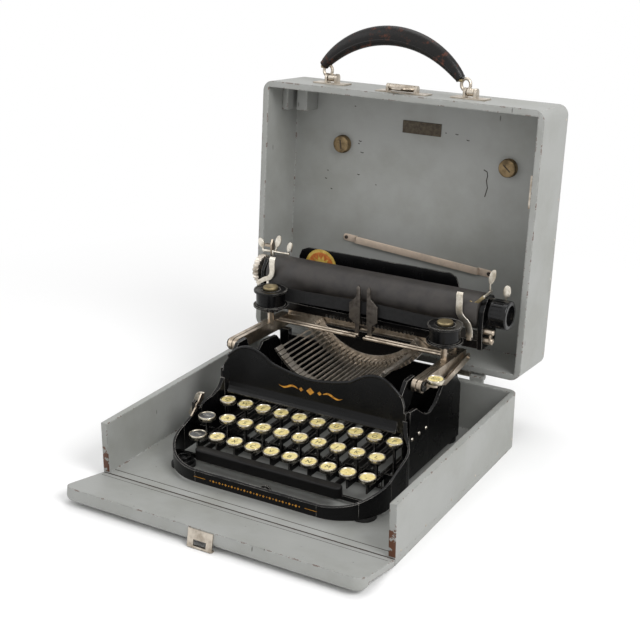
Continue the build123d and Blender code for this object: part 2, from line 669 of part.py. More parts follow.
def paper_fingers():
    pieces = []
    for x, lean in ((PLATE_HALF - 18, 1), (-PLATE_HALF + 16, -1)):
        y0, y1 = PLATEN_Y - PLATEN_R - 2.4, PLATEN_Y - PLATEN_R - 0.8
        finger = block(x - 3, x + 3, y0, y1, 118, 152)
        finger += front_shape([(x - 3, 120), (x + 3, 120), (x + 3 + lean * 8, 109), (x - 3 + lean * 8, 109)],
                              y0, y1)
        foot_x = x + lean * 8
        finger += block(foot_x - 3, foot_x + 3, y0, BEAM_Y[0], BEAM_Z[1] - 1.6, BEAM_Z[1])
        finger += block(foot_x - 3, foot_x + 3, y0, y1, BEAM_Z[1] - 1.6, 110)
        pieces.append(finger)
    return pieces


def carriage_levers():
    x = -PLATE_HALF - 1.0
    first = block(x - 1, x + 1.0, 114, 118, PLATEN_Z + 14, 158)
    end = -PLATE_HALF + 18.4
    second = rod_x(116, PLATEN_Z + 17.8, 1.2, x, end) + block(end - 2.4, end, 114, 118, PLATEN_Z + 17, 156)
    right = PLATE_HALF + 2.0
    low = rod_x(100, 108, 3.4, right, right + 9) + rod_x(99, 117, 2.8, right, right + 10)
    low += block(right + 6, right + 9, 97.6, 101, 107, 118)
    return [first + second, low]


def platen():
    roll = rod_x(PLATEN_Y, PLATEN_Z, PLATEN_R, -PLATEN_HALF, PLATEN_HALF)
    roll += rod_x(PLATEN_Y, PLATEN_Z, AXLE_R, WHEEL_X[1] - 0.5, KNOB_X[1] - 5)
    x0, x1 = WHEEL_X
    wheel = rod_x(PLATEN_Y, PLATEN_Z, PLATEN_R - 2.5, x0, x1)
    for i in range(20):
        tooth = block(x0 - 0.5, x1 + 0.5, PLATEN_R - 4.5, PLATEN_R, -1.2, 1.2)
        wheel -= Pos(0, PLATEN_Y, PLATEN_Z) * Rot(18 * i, 0, 0) * tooth
    return [roll + wheel]


def platen_knob():
    x0, x1 = KNOB_X
    knob = rod_x(PLATEN_Y, PLATEN_Z, KNOB_R, x0, x1)
    knob = fillet(knob.edges().group_by(Axis.X)[-1], 1.6)
    knob -= rod_x(PLATEN_Y, PLATEN_Z, KNOB_R - 4.0, x1 - 5.0, x1 + 1)
    for i in range(24):
        knob -= Pos(0, PLATEN_Y, PLATEN_Z) * Rot(15 * i, 0, 0) * block(x0 + 1.5, x1 - 4.5, KNOB_R - 0.7,
                                                                       KNOB_R + 1, -0.7, 0.7)
    knob += rod_x(PLATEN_Y, PLATEN_Z, 6.0, PLATE_HALF + 2.4, x0)
    return [knob - rod_x(PLATEN_Y, PLATEN_Z, AXLE_R, PLATE_HALF, x1 - 5.0)]


def spool(s):
    x, y, z = s * SPOOL_X, SPOOL_Y, SPOOL_Z
    body = rod_z(x, y, SPOOL_R, z, z + 1.6) + rod_z(x, y, SPOOL_R - 0.6, z + SPOOL_H - 1.6, z + SPOOL_H)
    body += rod_z(x, y, 14.0, z, z + SPOOL_H)
    gear = rod_z(x, y, 9.0, z - 4.4, z)
    for i in range(12):
        gear -= Pos(x, y, 0) * Rot(0, 0, 30 * i) * block(7.4, 10, -0.9, 0.9, z - 5, z - 1.2)
    body += gear
    nut = rod_z(x, y, 6.4, z + SPOOL_H, z + SPOOL_H + 3.0)
    body += nut
    return [body - rod_z(x, y, 1.8 + FIT, z - 6, z + SPOOL_H + 1.4)]


def ribbon():
    t = 0.4
    r = 14.0
    turn_x = 11.5
    pts = []
    for s in (-1, 1):
        cx, cy = s * SPOOL_X, SPOOL_Y
        ex, ey = VIB_X + s * turn_x, RIBBON_Y
        dx, dy = abs(ex - cx), ey - cy
        d = math.hypot(dx, dy)
        a = math.atan2(dy, dx) + math.acos(r / d)
        pts.append((s, cx - s * r * math.cos(a), cy + r * math.sin(a), ex, ey))
    (_, lx, ly, lex, ley), (_, rx, ry, rex, rey) = pts
    z0, z1 = SPOOL_Z + 2.0, SPOOL_Z + SPOOL_H - 2.0
    strip = plan_shape([(lx, ly), (lex, ley), (rex, rey), (rx, ry), (rx, ry + t), (rex, rey + t),
                        (lex, ley + t), (lx, ly + t)],
                       z0, z1)
    return [strip]


def vibrator():
    y0, y1 = 86.6, 88.2
    x = VIB_X
    half = [(3.6, 140), (5.5, 142.5), (7.5, 140), (7.5, 131), (15, 124), (15, 109), (9, 104), (3.6, 104)]
    right = [(x + a, z) for a, z in half]
    left = [(x - a, z) for a, z in half]
    fork = front_shape(right, y0, y1) + front_shape(left, y0, y1)
    for s in (-1, 1):
        a, b = sorted((x + s * 4.4, x + s * 9.0))
        fork += block(a, b, y0 + 0.6, y1, 91, 104.2)
        fork += block(a, b, y0 + 0.6, 93.6, 98.0, 100.4)
    fork += block(x - 9, x + 9, 92.4, 93.6, 98.0, 100.4)
    for s in (-1, 1):
        a, b = sorted((x + s * 9.5, x + s * 11.5))
        fork += block(a, b, y1, RIBBON_Y, 114, 123)
    return [fork]


def line_space_lever():
    x = -PLATE_HALF - 2.6
    lever = side_shape([(117, 136), (121, 136), (122, 156), (119, 161), (116, 156)], x - 2.0, x)
    lever += rod_x(119, 139, 3.0, x - 2.0, x)
    lever += block(x - 9, x - 1, 117, 121, 153, 155.4)
    return [lever - rod_x(119, 139, 1.2 + FIT, x - 3, x + 1)]


def line_pin():
    return rod_x(119, 139, 1.2, -PLATE_HALF - 5.0, -PLATE_HALF - 2.4)


def write_all():
    save("case_tray", *case_tray())
    save("case_flap", *case_flap())
    save("catch_plate", *catch_plate())
    save("lid_shell", *[lid_open(p) for p in lid_walls()])
    save("lid_fittings", *lid_fittings())
    save("lid_hardware", *lid_hardware())
    save("latch_lever", *latch_lever())
    save("handle_grip", *handle_grip())
    save("machine_frame", *machine_frame(), small_pins()[1], *foot_pads())
    save("front_panel", *front_panel())
    save("rubber_feet", *rubber_feet())
    save("key_comb", *key_comb())
    save("type_segment", *type_segment())
    save("typebars", *typebars())
    save("typebar_demo", *typebar_demo())
    for name, pieces in key_nodes().items():
        save(name, *pieces)
    save("space_bar", *space_bar())
    save("cap_key", lever_shape(*CAP_AT, SHIFT_R, ROD_Z + 2.5))
    save("fig_key", lever_shape(*FIG_AT, SHIFT_R, ROD_Z + 2.5))
    save("back_space_key", *back_space_key())
    save("margin_lever", *margin_lever())
    save("fold_arms", *fold_arms())
    save("carriage_frame", *carriage_frame(), line_pin())
    save("paper_table", *paper_table())
    save("paper_fingers", *paper_fingers())
    save("carriage_levers", *carriage_levers())
    save("platen", *platen())
    save("platen_knob", *platen_knob())
    save("spool_left", *spool(-1))
    save("spool_right", *spool(1))
    save("ribbon", *ribbon())
    save("vibrator", *vibrator())
    save("line_space_lever", *line_space_lever())


write_all()
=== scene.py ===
import json
import logging
import math
from dataclasses import dataclass
from enum import Enum
from functools import partial
from typing import Any, Callable, Sequence

import bpy
from mathutils import Matrix, Vector

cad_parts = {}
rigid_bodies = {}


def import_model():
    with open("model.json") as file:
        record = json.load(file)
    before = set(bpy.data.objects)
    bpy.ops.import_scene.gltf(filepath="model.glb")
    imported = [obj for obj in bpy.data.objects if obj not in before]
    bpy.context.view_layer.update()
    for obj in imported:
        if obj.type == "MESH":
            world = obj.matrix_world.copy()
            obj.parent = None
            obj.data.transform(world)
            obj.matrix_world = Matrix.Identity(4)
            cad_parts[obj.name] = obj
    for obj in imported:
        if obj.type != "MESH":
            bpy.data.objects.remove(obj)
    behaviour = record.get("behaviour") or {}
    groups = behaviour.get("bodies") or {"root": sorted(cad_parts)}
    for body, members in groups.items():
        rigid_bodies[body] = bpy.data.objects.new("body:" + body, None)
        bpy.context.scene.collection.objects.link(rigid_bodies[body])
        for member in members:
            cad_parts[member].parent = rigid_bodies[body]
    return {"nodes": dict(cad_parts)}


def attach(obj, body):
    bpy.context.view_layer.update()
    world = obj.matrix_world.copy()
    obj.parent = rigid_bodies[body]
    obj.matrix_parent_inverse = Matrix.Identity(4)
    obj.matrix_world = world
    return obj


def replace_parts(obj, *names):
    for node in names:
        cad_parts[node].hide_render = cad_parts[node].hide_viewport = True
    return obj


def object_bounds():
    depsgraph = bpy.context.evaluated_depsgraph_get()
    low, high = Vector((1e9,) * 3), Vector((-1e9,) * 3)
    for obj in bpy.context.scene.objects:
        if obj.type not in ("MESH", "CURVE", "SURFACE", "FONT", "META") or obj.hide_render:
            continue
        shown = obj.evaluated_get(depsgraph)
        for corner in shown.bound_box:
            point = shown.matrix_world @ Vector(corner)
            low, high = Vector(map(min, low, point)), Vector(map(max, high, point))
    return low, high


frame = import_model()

logging.basicConfig(level=logging.INFO, format="%(message)s")
log = logging.getLogger("typewriter")

MM = 0.001
CAD_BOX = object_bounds()
SIDES = (-1, 1)
BEVEL_ANGLE = math.radians(40)
BEVEL_STEPS = 3
SMOOTH_ANGLE = math.radians(38)

Flat = tuple[float, float]
Point = tuple[float, float, float]
Shape = tuple[list[Point], list[tuple[int, ...]]]
Node = bpy.types.Node
Object = bpy.types.Object
Socket = bpy.types.NodeSocket
Source = bpy.types.Node | bpy.types.NodeSocket
Adder = Callable[..., bpy.types.Node]


# Helpers for colours, nodes and meshes


def linear(code: str) -> tuple[float, float, float, float]:
    """Turn an sRGB colour "#rrggbb" into linear red, green, blue and alpha."""
    parts = [int(code[i:i + 2], 16) / 255 for i in (1, 3, 5)]
    red, green, blue = (c / 12.92 if c <= 0.04045 else ((c + 0.055) / 1.055) ** 2.4 for c in parts)
    return red, green, blue, 1.0


def scale(size_mm: float) -> float:
    """Return a texture's scale for features of a size in millimetres."""
    return 1 / (size_mm * MM)


def fill(node: Node, settings: dict[Any, Any], links: dict[Any, Source]) -> Node:
    """Give a node its settings and links.

    Args:
        node: the node.
        settings: values by input name or number, or by the name of the node's own property.
        links: what feeds an input: a socket, or a node for its first output.

    Returns:
        The node.
    """
    for key, value in settings.items():
        if isinstance(key, str) and key not in node.inputs:
            setattr(node, key, value)
        else:
            node.inputs[key].default_value = value
    for key, source in links.items():
        socket = source.outputs[0] if isinstance(source, Node) else source
        node.id_data.links.new(socket, node.inputs[key])
    return node


def add_node(tree: bpy.types.NodeTree, kind: str, settings: dict[Any, Any] | None = None,
             links: dict[Any, Source] | None = None) -> Node:
    """Add one shader node of a kind to a tree, with its settings and links."""
    return fill(tree.nodes.new("ShaderNode" + kind), settings or {}, links or {})


def blank(owner: bpy.types.Material | bpy.types.World) -> Adder:
    """Empty the node tree of a material or a world and return what adds nodes to it."""
    owner.use_nodes = True
    owner.node_tree.nodes.clear()
    return partial(add_node, owner.node_tree)


def new_object(name: str, data: bpy.types.ID) -> Object:
    """Put a new object with its data into the scene."""
    made = bpy.data.objects.new(name, data)
    bpy.context.scene.collection.objects.link(made)
    return made


def set_ramp(node: Node, stops: Sequence[tuple[float, str]]) -> Node:
    """Give a colour ramp its stops, as (place, hex colour)."""
    ramp = node.color_ramp
    while len(ramp.elements) > 1:
        ramp.elements.remove(ramp.elements[-1])
    for i, (place, code) in enumerate(stops):
        stop = ramp.elements[0] if i == 0 else ramp.elements.new(place)
        stop.position = place
        stop.color = linear(code)
    return node


def make_piece(name: str, shape: Shape, finishes: Sequence["Finish"], body: str,
               faces_of: Sequence[int] | None = None, bevel: float = 0.0, smooth: bool = True) -> Object:
    """Make a mesh object, dress it and let it ride on a body.

    Args:
        name: the piece's name.
        shape: points in millimetres and faces.
        finishes: the finishes, the first one for every face without an entry.
        body: the body that carries the piece.
        faces_of: for each face, the number of its finish.
        bevel: width of rounded edges in millimetres.
        smooth: whether faces are shaded smooth where they meet at a small angle.

    Returns:
        The object.
    """
    points, faces = shape
    mesh = bpy.data.meshes.new(name)
    mesh.from_pydata([Vector(p) * MM for p in points], [], faces)
    mesh.validate()
    for finish in finishes:
        mesh.materials.append(finish.material())
    if faces_of:
        mesh.polygons.foreach_set("material_index", list(faces_of))
    piece = new_object(name, mesh)
    if bevel:
        edge = piece.modifiers.new("rounded edges", "BEVEL")
        edge.width = bevel * MM
        edge.segments = BEVEL_STEPS
        edge.limit_method = "ANGLE"
        edge.angle_limit = BEVEL_ANGLE
    if smooth:
        mesh.shade_smooth()
        sharp = piece.modifiers.new("shading", "EDGE_SPLIT")
        sharp.split_angle = SMOOTH_ANGLE
    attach(piece, body)
    return piece


def joined(*shapes: Shape) -> Shape:
    """Put several shapes into one."""
    points: list[Point] = []
    faces: list[tuple[int, ...]] = []
    for some, own in shapes:
        faces += [tuple(i + len(points) for i in face) for face in own]
        points += some
    return points, faces


def placed(shape: Shape, move: Matrix) -> Shape:
    """Move a shape by a matrix in millimetres."""
    points, faces = shape
    return [tuple(move @ Vector(p)) for p in points], faces


def moved(x: float, y: float, z: float, quarters: float = 0.0, axis: str = "X") -> Matrix:
    """Return the matrix of a turn by quarters of a circle about an axis, then a move in millimetres."""
    return Matrix.Translation((x, y, z)) @ Matrix.Rotation(quarters * math.pi / 2, 4, axis)


def polar(radius: float, turn: float) -> Flat:
    """Return the point at a radius and a turn in radians."""
    return radius * math.cos(turn), radius * math.sin(turn)


def lathe(profile: Sequence[Flat], sides: int = 40) -> Shape:
    """Turn a profile of (radius, height) about Z in a number of steps; a radius of 0 closes an end."""
    points: list[Point] = []
    rows: list[list[int]] = []
    for radius, height in profile:
        steps = sides if radius else 1
        rows.append(list(range(len(points), len(points) + steps)))
        points += [(*polar(radius, 2 * math.pi * k / sides), height) for k in range(steps)]
    faces: list[tuple[int, ...]] = []
    for low, high in zip(rows, rows[1:]):
        for k in range(sides):
            j = (k + 1) % sides
            corners = dict.fromkeys(row[i % len(row)] for row, i in ((low, k), (low, j), (high, j), (high, k)))
            if len(corners) > 2:
                faces.append(tuple(corners))
    return points, faces


def plate(outline: Sequence[Flat], thickness: float) -> Shape:
    """Make a flat plate from an anticlockwise outline in X and Y, from Z 0 up to its thickness."""
    n = len(outline)
    points = [(x, y, 0.0) for x, y in outline] + [(x, y, thickness) for x, y in outline]
    faces: list[tuple[int, ...]] = [tuple(reversed(range(n))), tuple(range(n, 2 * n))]
    faces += [(k, (k + 1) % n, n + (k + 1) % n, n + k) for k in range(n)]
    return points, faces


def lozenge(half_x: float, half_y: float, thickness: float) -> Shape:
    """Make a flat lozenge about the origin."""
    return plate([(-half_x, 0), (0, -half_y), (half_x, 0), (0, half_y)], thickness)


def bar(x0: float, x1: float, y0: float, y1: float, z0: float, z1: float) -> Shape:
    """Make a rectangular bar between two corners, to be bevelled by its maker."""
    return placed(plate([(x0, y0), (x1, y0), (x1, y1), (x0, y1)], z1 - z0), moved(0, 0, z0))


def tube(path: Sequence[Point], wide: Callable[[float], float], tall: Callable[[float], float],
         across: Vector, sides: int = 16) -> Shape:
    """Sweep an oval along a path.

    Args:
        path: the centre line's points.
        wide: half width along `across`, by the share of the path passed.
        tall: half width square to `across`, by the share of the path passed.
        across: the direction of the wide axis.
        sides: the number of points round the oval.

    Returns:
        A closed tube.
    """
    line = [Vector(p) for p in path]
    points: list[Point] = []
    for i, centre in enumerate(line):
        way = (line[min(i + 1, len(line) - 1)] - line[max(i - 1, 0)]).normalized()
        flat = (across - way * across.dot(way)).normalized()
        up = way.cross(flat)
        share = i / (len(line) - 1)
        for k in range(sides):
            turn = 2 * math.pi * k / sides
            out = flat * wide(share) * math.cos(turn) + up * tall(share) * math.sin(turn)
            points.append(tuple(centre + out))
    faces = [(i * sides + k, i * sides + (k + 1) % sides, (i + 1) * sides + (k + 1) % sides,
              (i + 1) * sides + k) for i in range(len(line) - 1) for k in range(sides)]
    faces += [tuple(reversed(range(sides))), tuple(range((len(line) - 1) * sides, len(line) * sides))]
    return points, faces


def strip(path: Sequence[Sequence[float]], half: Callable[[float], float], thickness: float) -> Shape:
    """Make a flat strip of sheet metal along a path in XY, its half width given by the share passed."""
    left: list[Flat] = []
    right: list[Flat] = []
    for i, (x, y) in enumerate(path):
        ahead, behind = path[min(i + 1, len(path) - 1)], path[max(i - 1, 0)]
        dx, dy = ahead[0] - behind[0], ahead[1] - behind[1]
        size = math.hypot(dx, dy)
        w = half(i / (len(path) - 1)) / size
        left.append((x - dy * w, y + dx * w))
        right.append((x + dy * w, y - dx * w))
    return plate(right + left[::-1], thickness)


def smooth_line(points: Sequence[Sequence[float]], steps: int = 6) -> list[tuple[float, ...]]:
    """Pass a smooth curve through points, with a number of steps between two of them."""
    p = [Vector(q) for q in points]
    made: list[tuple[float, ...]] = []
    for i in range(len(p) - 1):
        a, b, c, d = p[max(i - 1, 0)], p[i], p[i + 1], p[min(i + 2, len(p) - 1)]
        for k in range(steps):
            t = k / steps
            made.append(tuple(0.5 * (2 * b + (c - a) * t + (2 * a - 5 * b + 4 * c - d) * t * t
                                     + (3 * b - a - 3 * c + d) * t ** 3)))
    made.append(tuple(p[-1]))
    return made


def lettering(words: str, size: float, thickness: float) -> Shape:
    """Make a few plain letters in the XY plane, centred on the origin, with the font's size in millimetres."""
    data = bpy.data.curves.new("letters", "FONT")
    data.body = words
    data.size = size
    data.extrude = thickness / 2
    data.align_x = "CENTER"
    data.align_y = "CENTER"
    data.space_line = 0.85
    holder = new_object("letters", data)
    depsgraph = bpy.context.evaluated_depsgraph_get()
    mesh = bpy.data.meshes.new_from_object(holder.evaluated_get(depsgraph))
    shape = [tuple(v.co) for v in mesh.vertices], [tuple(p.vertices) for p in mesh.polygons]
    bpy.data.objects.remove(holder)
    bpy.data.meshes.remove(mesh)
    bpy.data.curves.remove(data)
    return shape


# Finishes


TIMES = {"operation": "MULTIPLY"}
GREATER = {"operation": "MAXIMUM"}
COLOUR = {"data_type": "RGBA"}


class Gloss(Enum):
    """How much a coat shines, as its roughness."""

    GLOSSY = 0.24
    SATIN = 0.42
    DULL = 0.6


@dataclass(frozen=True)
class Finish:
    """A finish that is made once and shared by its pieces."""

    name: str = "plain"

    def material(self) -> bpy.types.Material:
        """Return the material, made on first use."""
        found = bpy.data.materials.get(self.name)
        if found:
            return found
        made = bpy.data.materials.new(self.name)
        add = blank(made)
        shader = add("BsdfPrincipled")
        add("OutputMaterial", {}, {"Surface": shader})
        self.paint(add, shader, add("TexCoord").outputs["Object"])
        return made

    def paint(self, add: Adder, shader: Node, place: Socket) -> None:
        """Fill the node tree; each finish has its own way."""
        raise NotImplementedError

    def edges(self, add: Adder, radius_mm: float, flat: float, sharp: float) -> tuple[Node, Node]:
        """Find the edges by comparing a rounded normal with the true one.

        Args:
            add: adds a node to the material.
            radius_mm: radius of the rounding.
            flat: cosine between the normals where the edge begins.
            sharp: cosine where it is full.

        Returns:
            The rounded normal, and how much of an edge a place is.
        """
        rounded = add("Bevel", {"samples": 4, "Radius": radius_mm * MM})
        meet = add("VectorMath", {"operation": "DOT_PRODUCT"},
                   {0: rounded, 1: add("NewGeometry").outputs["Normal"]})
        return rounded, add("MapRange", {"From Min": flat, "From Max": sharp}, {"Value": meet.outputs["Value"]})

    def dress(self, *names: str) -> None:
        """Give this finish to carried-over CAD nodes."""
        for name in names:
            mesh = frame["nodes"][name].data
            mesh.materials.clear()
            mesh.materials.append(self.material())


@dataclass(frozen=True)
class PaintedBoard(Finish):
    """Thin plywood with brushed grey oil paint.

    The paint is satin and uneven, shows the board's brown where it is knocked off at edges and ends, and
    carries dark dots of dirt.
    """

    name: str = "painted plywood, brushed grey"
    tones: tuple[str, str, str] = ("#93948f", "#9d9e9b", "#a1a29f")
    bare: str = "#5d3a28"
    pale_edge: str = "#c3c5c1"
    dirt: str = "#3f3c39"
    cloud_mm: float = 55.0
    brush_mm: float = 2.2
    chip_mm: float = 7.0
    fleck_mm: float = 9.0
    tear_mm: float = 6.5
    edge_mm: float = 2.2
    torn_ends: bool = False
    end_mm: Flat = (-124.3, -124.8)
    foot_mm: Flat = (7.0, 7.5)
    reach_mm: Flat = (50.0, 18.0)

    def paint(self, add: Adder, shader: Node, place: Socket) -> None:
        """Lay the coat, its wear along edges, the chipped front ends of the walls and the scratches."""
        cloud = add("TexNoise", {"Scale": scale(self.cloud_mm), "Detail": 5.0, "Roughness": 0.6},
                    {"Vector": place})
        coat = set_ramp(add("ValToRGB", {}, {"Fac": cloud}), list(zip((0.34, 0.56, 0.76), self.tones)))
        edge, turned = self.edges(add, self.edge_mm, 0.995, 0.93)
        chips = add("TexNoise", {"Scale": scale(self.chip_mm), "Detail": 6.0, "Roughness": 0.68},
                    {"Vector": place})
        bright = add("MapRange", {"From Min": 0.46, "From Max": 0.56}, {"Value": chips})
        rubbed = add("Math", TIMES, {0: turned, 1: bright})
        soft = add("Math", {**TIMES, 1: 0.85}, {0: rubbed})
        light = add("Mix", {**COLOUR, 7: linear(self.pale_edge)}, {0: soft, 6: coat})
        worn = add("MapRange", {"From Min": 0.545, "From Max": 0.575}, {"Value": chips})
        gone = add("Math", TIMES, {0: turned, 1: worn})
        torn = self.torn(add, place) if self.torn_ends else gone
        bare = add("Math", GREATER, {0: torn, 1: gone})
        chipped = add("Mix", {**COLOUR, 7: linear(self.bare)}, {0: bare, 6: light.outputs[2]})
        stretch = add("Mapping", {"Scale": (1.0, 1.0, 0.22), "Rotation": (0.5, 0.2, 0.7)}, {"Vector": place})
        flecks = add("TexVoronoi", {"Scale": scale(self.fleck_mm), "Randomness": 1.0}, {"Vector": stretch})
        dots = add("MapRange", {"From Min": 0.085, "From Max": 0.05}, {"Value": flecks})
        few = add("SeparateColor", {}, {"Color": flecks.outputs["Color"]})
        chosen = add("Math", {"operation": "GREATER_THAN", 1: 0.72}, {0: few})
        marks = add("Math", TIMES, {0: dots, 1: chosen})
        faint = add("Math", {**TIMES, 1: 0.7}, {0: marks})
        final = add("Mix", {**COLOUR, 7: linear(self.dirt)}, {0: faint, 6: chipped.outputs[2]})
        dull = add("MapRange", {"To Min": Gloss.SATIN.value, "To Max": Gloss.DULL.value}, {"Value": cloud})
        lines = add("TexNoise", {"Scale": scale(self.brush_mm), "Detail": 4.0}, {"Vector": place})
        depth = add("Math", {"operation": "SUBTRACT"}, {0: lines, 1: bare})
        bump = add("Bump", {"Strength": 0.3, "Distance": 0.2 * MM}, {"Height": depth, "Normal": edge})
        fill(shader, {"Specular IOR Level": 0.4}, {"Base Color": final.outputs[2], "Roughness": dull,
                                                   "Normal": bump})

    def torn(self, add: Adder, place: Socket) -> Node:
        """Return where the paint is torn off the front ends of the walls: low down, with a ragged outline."""
        axes = add("SeparateXYZ", {}, {"Vector": place})
        spans = (("Y", self.end_mm), ("Z", self.foot_mm), ("Z", self.reach_mm))
        front, wall, low = (add("MapRange", {"From Min": start * MM, "From Max": full * MM},
                                {"Value": axes.outputs[axis]}) for axis, (start, full) in spans)
        end = add("Math", TIMES, {0: front, 1: wall})
        tear = add("TexNoise", {"Scale": scale(self.tear_mm), "Detail": 5.0, "Roughness": 0.6},
                   {"Vector": place})
        lean = add("Math", {**TIMES, 1: 0.36}, {0: low})
        both = add("Math", {"operation": "ADD"}, {0: tear, 1: lean})
        ragged = add("MapRange", {"From Min": 0.76, "From Max": 0.8}, {"Value": both})
        return add("Math", TIMES, {0: end, 1: ragged})


@dataclass(frozen=True)
class Enamel(Finish):
    """Black japan enamel stoved on sheet steel.

    It is deep and glossy with a slight orange-peel wave; along its thin edges a pale painted highlight, strong
    in some stretches and faint in others, stands in for the light they catch, and here and there a chip shows
    grey steel.
    """

    name: str = "black japan enamel, stoved"
    black: str = "#070708"
    # steel: the grey of bare steel in the chips, and also the colour of the painted edge highlight
    steel: str = "#b9b5ae"
    wave_mm: float = 14.0
    chip_mm: float = 3.0
    # size of the stretches of edge where the painted highlight is strong or faint
    highlight_mm: float = 21.0
    edge_mm: float = 0.8
    gloss: Gloss = Gloss.GLOSSY
    # rim: the strength of the painted edge highlight at its brightest
    rim: float = 0.85
    wear: float = 0.64

    def paint(self, add: Adder, shader: Node, place: Socket) -> None:
        """Lay the black, round the edges for the light, paint a pale highlight along them and chip them."""
        edge, turned = self.edges(add, self.edge_mm, 0.985, 0.8)
        chips = add("TexNoise", {"Scale": scale(self.chip_mm), "Detail": 5.0, "Roughness": 0.65},
                    {"Vector": place})
        worn = add("MapRange", {"From Min": self.wear - 0.04, "From Max": self.wear + 0.04}, {"Value": chips})
        bare = add("Math", TIMES, {0: turned, 1: worn})
        # Painted highlight: the edges take a paler colour in stretches, in place of the light they would catch
        highlight_noise = add("TexNoise", {"Scale": scale(self.highlight_mm), "Detail": 2.0}, {"Vector": place})
        highlight_strength = add("MapRange", {"From Min": 0.4, "From Max": 0.6, "To Min": 0.1, "To Max": self.rim},
                     {"Value": highlight_noise})
        rim = add("Math", TIMES, {0: turned, 1: highlight_strength})
        # The colour goes pale where the highlight is painted and where a chip shows bare steel
        highlight_and_chips = add("Math", GREATER, {0: rim, 1: bare})
        colour = add("Mix", {**COLOUR, 6: linear(self.black), 7: linear(self.steel)}, {0: highlight_and_chips})
        wave = add("TexNoise", {"Scale": scale(self.wave_mm), "Detail": 3.0}, {"Vector": place})
        sheen = add("MapRange", {"From Min": 0.3, "From Max": 0.7, "To Min": self.gloss.value - 0.06,
                                 "To Max": self.gloss.value + 0.06}, {"Value": wave})
        bump = add("Bump", {"Strength": 0.08, "Distance": 0.1 * MM}, {"Height": wave, "Normal": edge})
        fill(shader, {"Specular IOR Level": 0.2}, {"Base Color": colour.outputs[2], "Roughness": sheen,
                                                   "Normal": bump})


@dataclass(frozen=True)
class Mottled(Finish):
    """A surface of two tones in soft clouds under a fine grain; the finishes below are its kinds."""

    light: str = "#808080"
    dark: str = "#606060"
    cloud_mm: float = 7.0
    cloud_detail: float = 6.0
    cloud_roughness: float = 0.7
    stops: Flat = (0.34, 0.58)
    grain_mm: float = 0.7
    grain_detail: float = 3.0
    bump: float = 0.3
    bump_mm: float = 0.1
    edge_mm: float = 0.0
    rough: float = 0.5
    spread: Flat = (0.0, 0.0)
    metallic: float = 0.0
    coat: float = 0.0
    specular: float = 0.5

    def tones(self) -> list[tuple[float, str]]:
        """Return the colour ramp's stops."""
        return [(self.stops[0], self.dark), (self.stops[1], self.light)]

    def grain(self, add: Adder, place: Socket) -> Node:
        """Return the pattern of the bump."""
        return add("TexNoise", {"Scale": scale(self.grain_mm), "Detail": self.grain_detail}, {"Vector": place})

    def paint(self, add: Adder, shader: Node, place: Socket) -> None:
        """Lay the clouds, their sheen, the grain and any rounded edge."""
        cloud = add("TexNoise", {"Scale": scale(self.cloud_mm), "Detail": self.cloud_detail,
                                 "Roughness": self.cloud_roughness}, {"Vector": place})
        feeds: dict[Any, Source] = {"Base Color": set_ramp(add("ValToRGB", {}, {"Fac": cloud}), self.tones())}
        relief: dict[Any, Source] = {"Height": self.grain(add, place)}
        if self.edge_mm:
            relief["Normal"] = add("Bevel", {"samples": 4, "Radius": self.edge_mm * MM})
        feeds["Normal"] = add("Bump", {"Strength": self.bump, "Distance": self.bump_mm * MM}, relief)
        if any(self.spread):
            low, high = (self.rough + step for step in self.spread)
            feeds["Roughness"] = add("MapRange", {"From Min": 0.3, "From Max": 0.7, "To Min": low,
                                                  "To Max": high}, {"Value": cloud})
        fill(shader, {"Roughness": self.rough, "Metallic": self.metallic, "Coat Weight": self.coat,
                      "Coat Roughness": 0.08, "Specular IOR Level": self.specular}, feeds)


@dataclass(frozen=True)
class WornMetal(Mottled):
    """Plated or plain metal, handled for a century.

    The plating is warm and slightly cloudy, with fine draw lines, darker and duller where dirt stays and
    rounded by wear at its edges.
    """

    cloud_roughness: float = 0.65
    bump: float = 0.2
    edge_mm: float = 0.5
    rough: float = 0.34
    spread: Flat = (0.14, -0.06)
    metallic: float = 1.0


@dataclass(frozen=True)
class Leather(Mottled):
    """Black-dyed bridle leather, hand-worn.

    The grain is fine and pebbled, the dye is rubbed to red-brown in patches and the creases stay black.
    """

    name: str = "bridle leather, dyed black"
    light: str = "#4f2a1b"
    dark: str = "#0c0a09"
    rubbed: str = "#2a1710"
    cloud_mm: float = 11.0
    cloud_detail: float = 7.0
    grain_mm: float = 1.3
    bump: float = 0.45
    bump_mm: float = 0.25
    rough: float = 0.38
    spread: Flat = (-0.12, 0.12)
    specular: float = 0.3

    def tones(self) -> list[tuple[float, str]]:
        """Return the stops from the dye over the rubbed rim to the bare leather."""
        return [(0.54, self.dark), (0.58, self.rubbed), (0.64, self.light)]

    def grain(self, add: Adder, place: Socket) -> Node:
        """Return the pebbled grain."""
        return add("TexVoronoi", {"feature": "SMOOTH_F1", "Scale": scale(self.grain_mm)}, {"Vector": place})


@dataclass(frozen=True)
class Rubber(Mottled):
    """Ground platen or foot rubber.

    Old rubber is hard and brownish black, with bands polished by the paper and a dusty bloom.
    """

    light: str = "#3b3734"
    dark: str = "#242120"
    cloud_mm: float = 16.0
    cloud_detail: float = 8.0
    stops: Flat = (0.35, 0.65)
    grain_mm: float = 0.5
    spread: Flat = (-0.08, 0.12)


@dataclass(frozen=True)
class Printed(Mottled):
    """Card, ink, gilt or cloth: a thin coloured layer.

    It is flat in colour from afar and slightly mottled near by, with the fibre or the brush as a fine bump.
    """

    cloud_mm: float = 3.0
    cloud_detail: float = 4.0
    cloud_roughness: float = 0.5
    stops: Flat = (0.36, 0.62)
    grain_mm: float = 0.4
    grain_detail: float = 2.0
    bump: float = 0.15
    bump_mm: float = 0.05


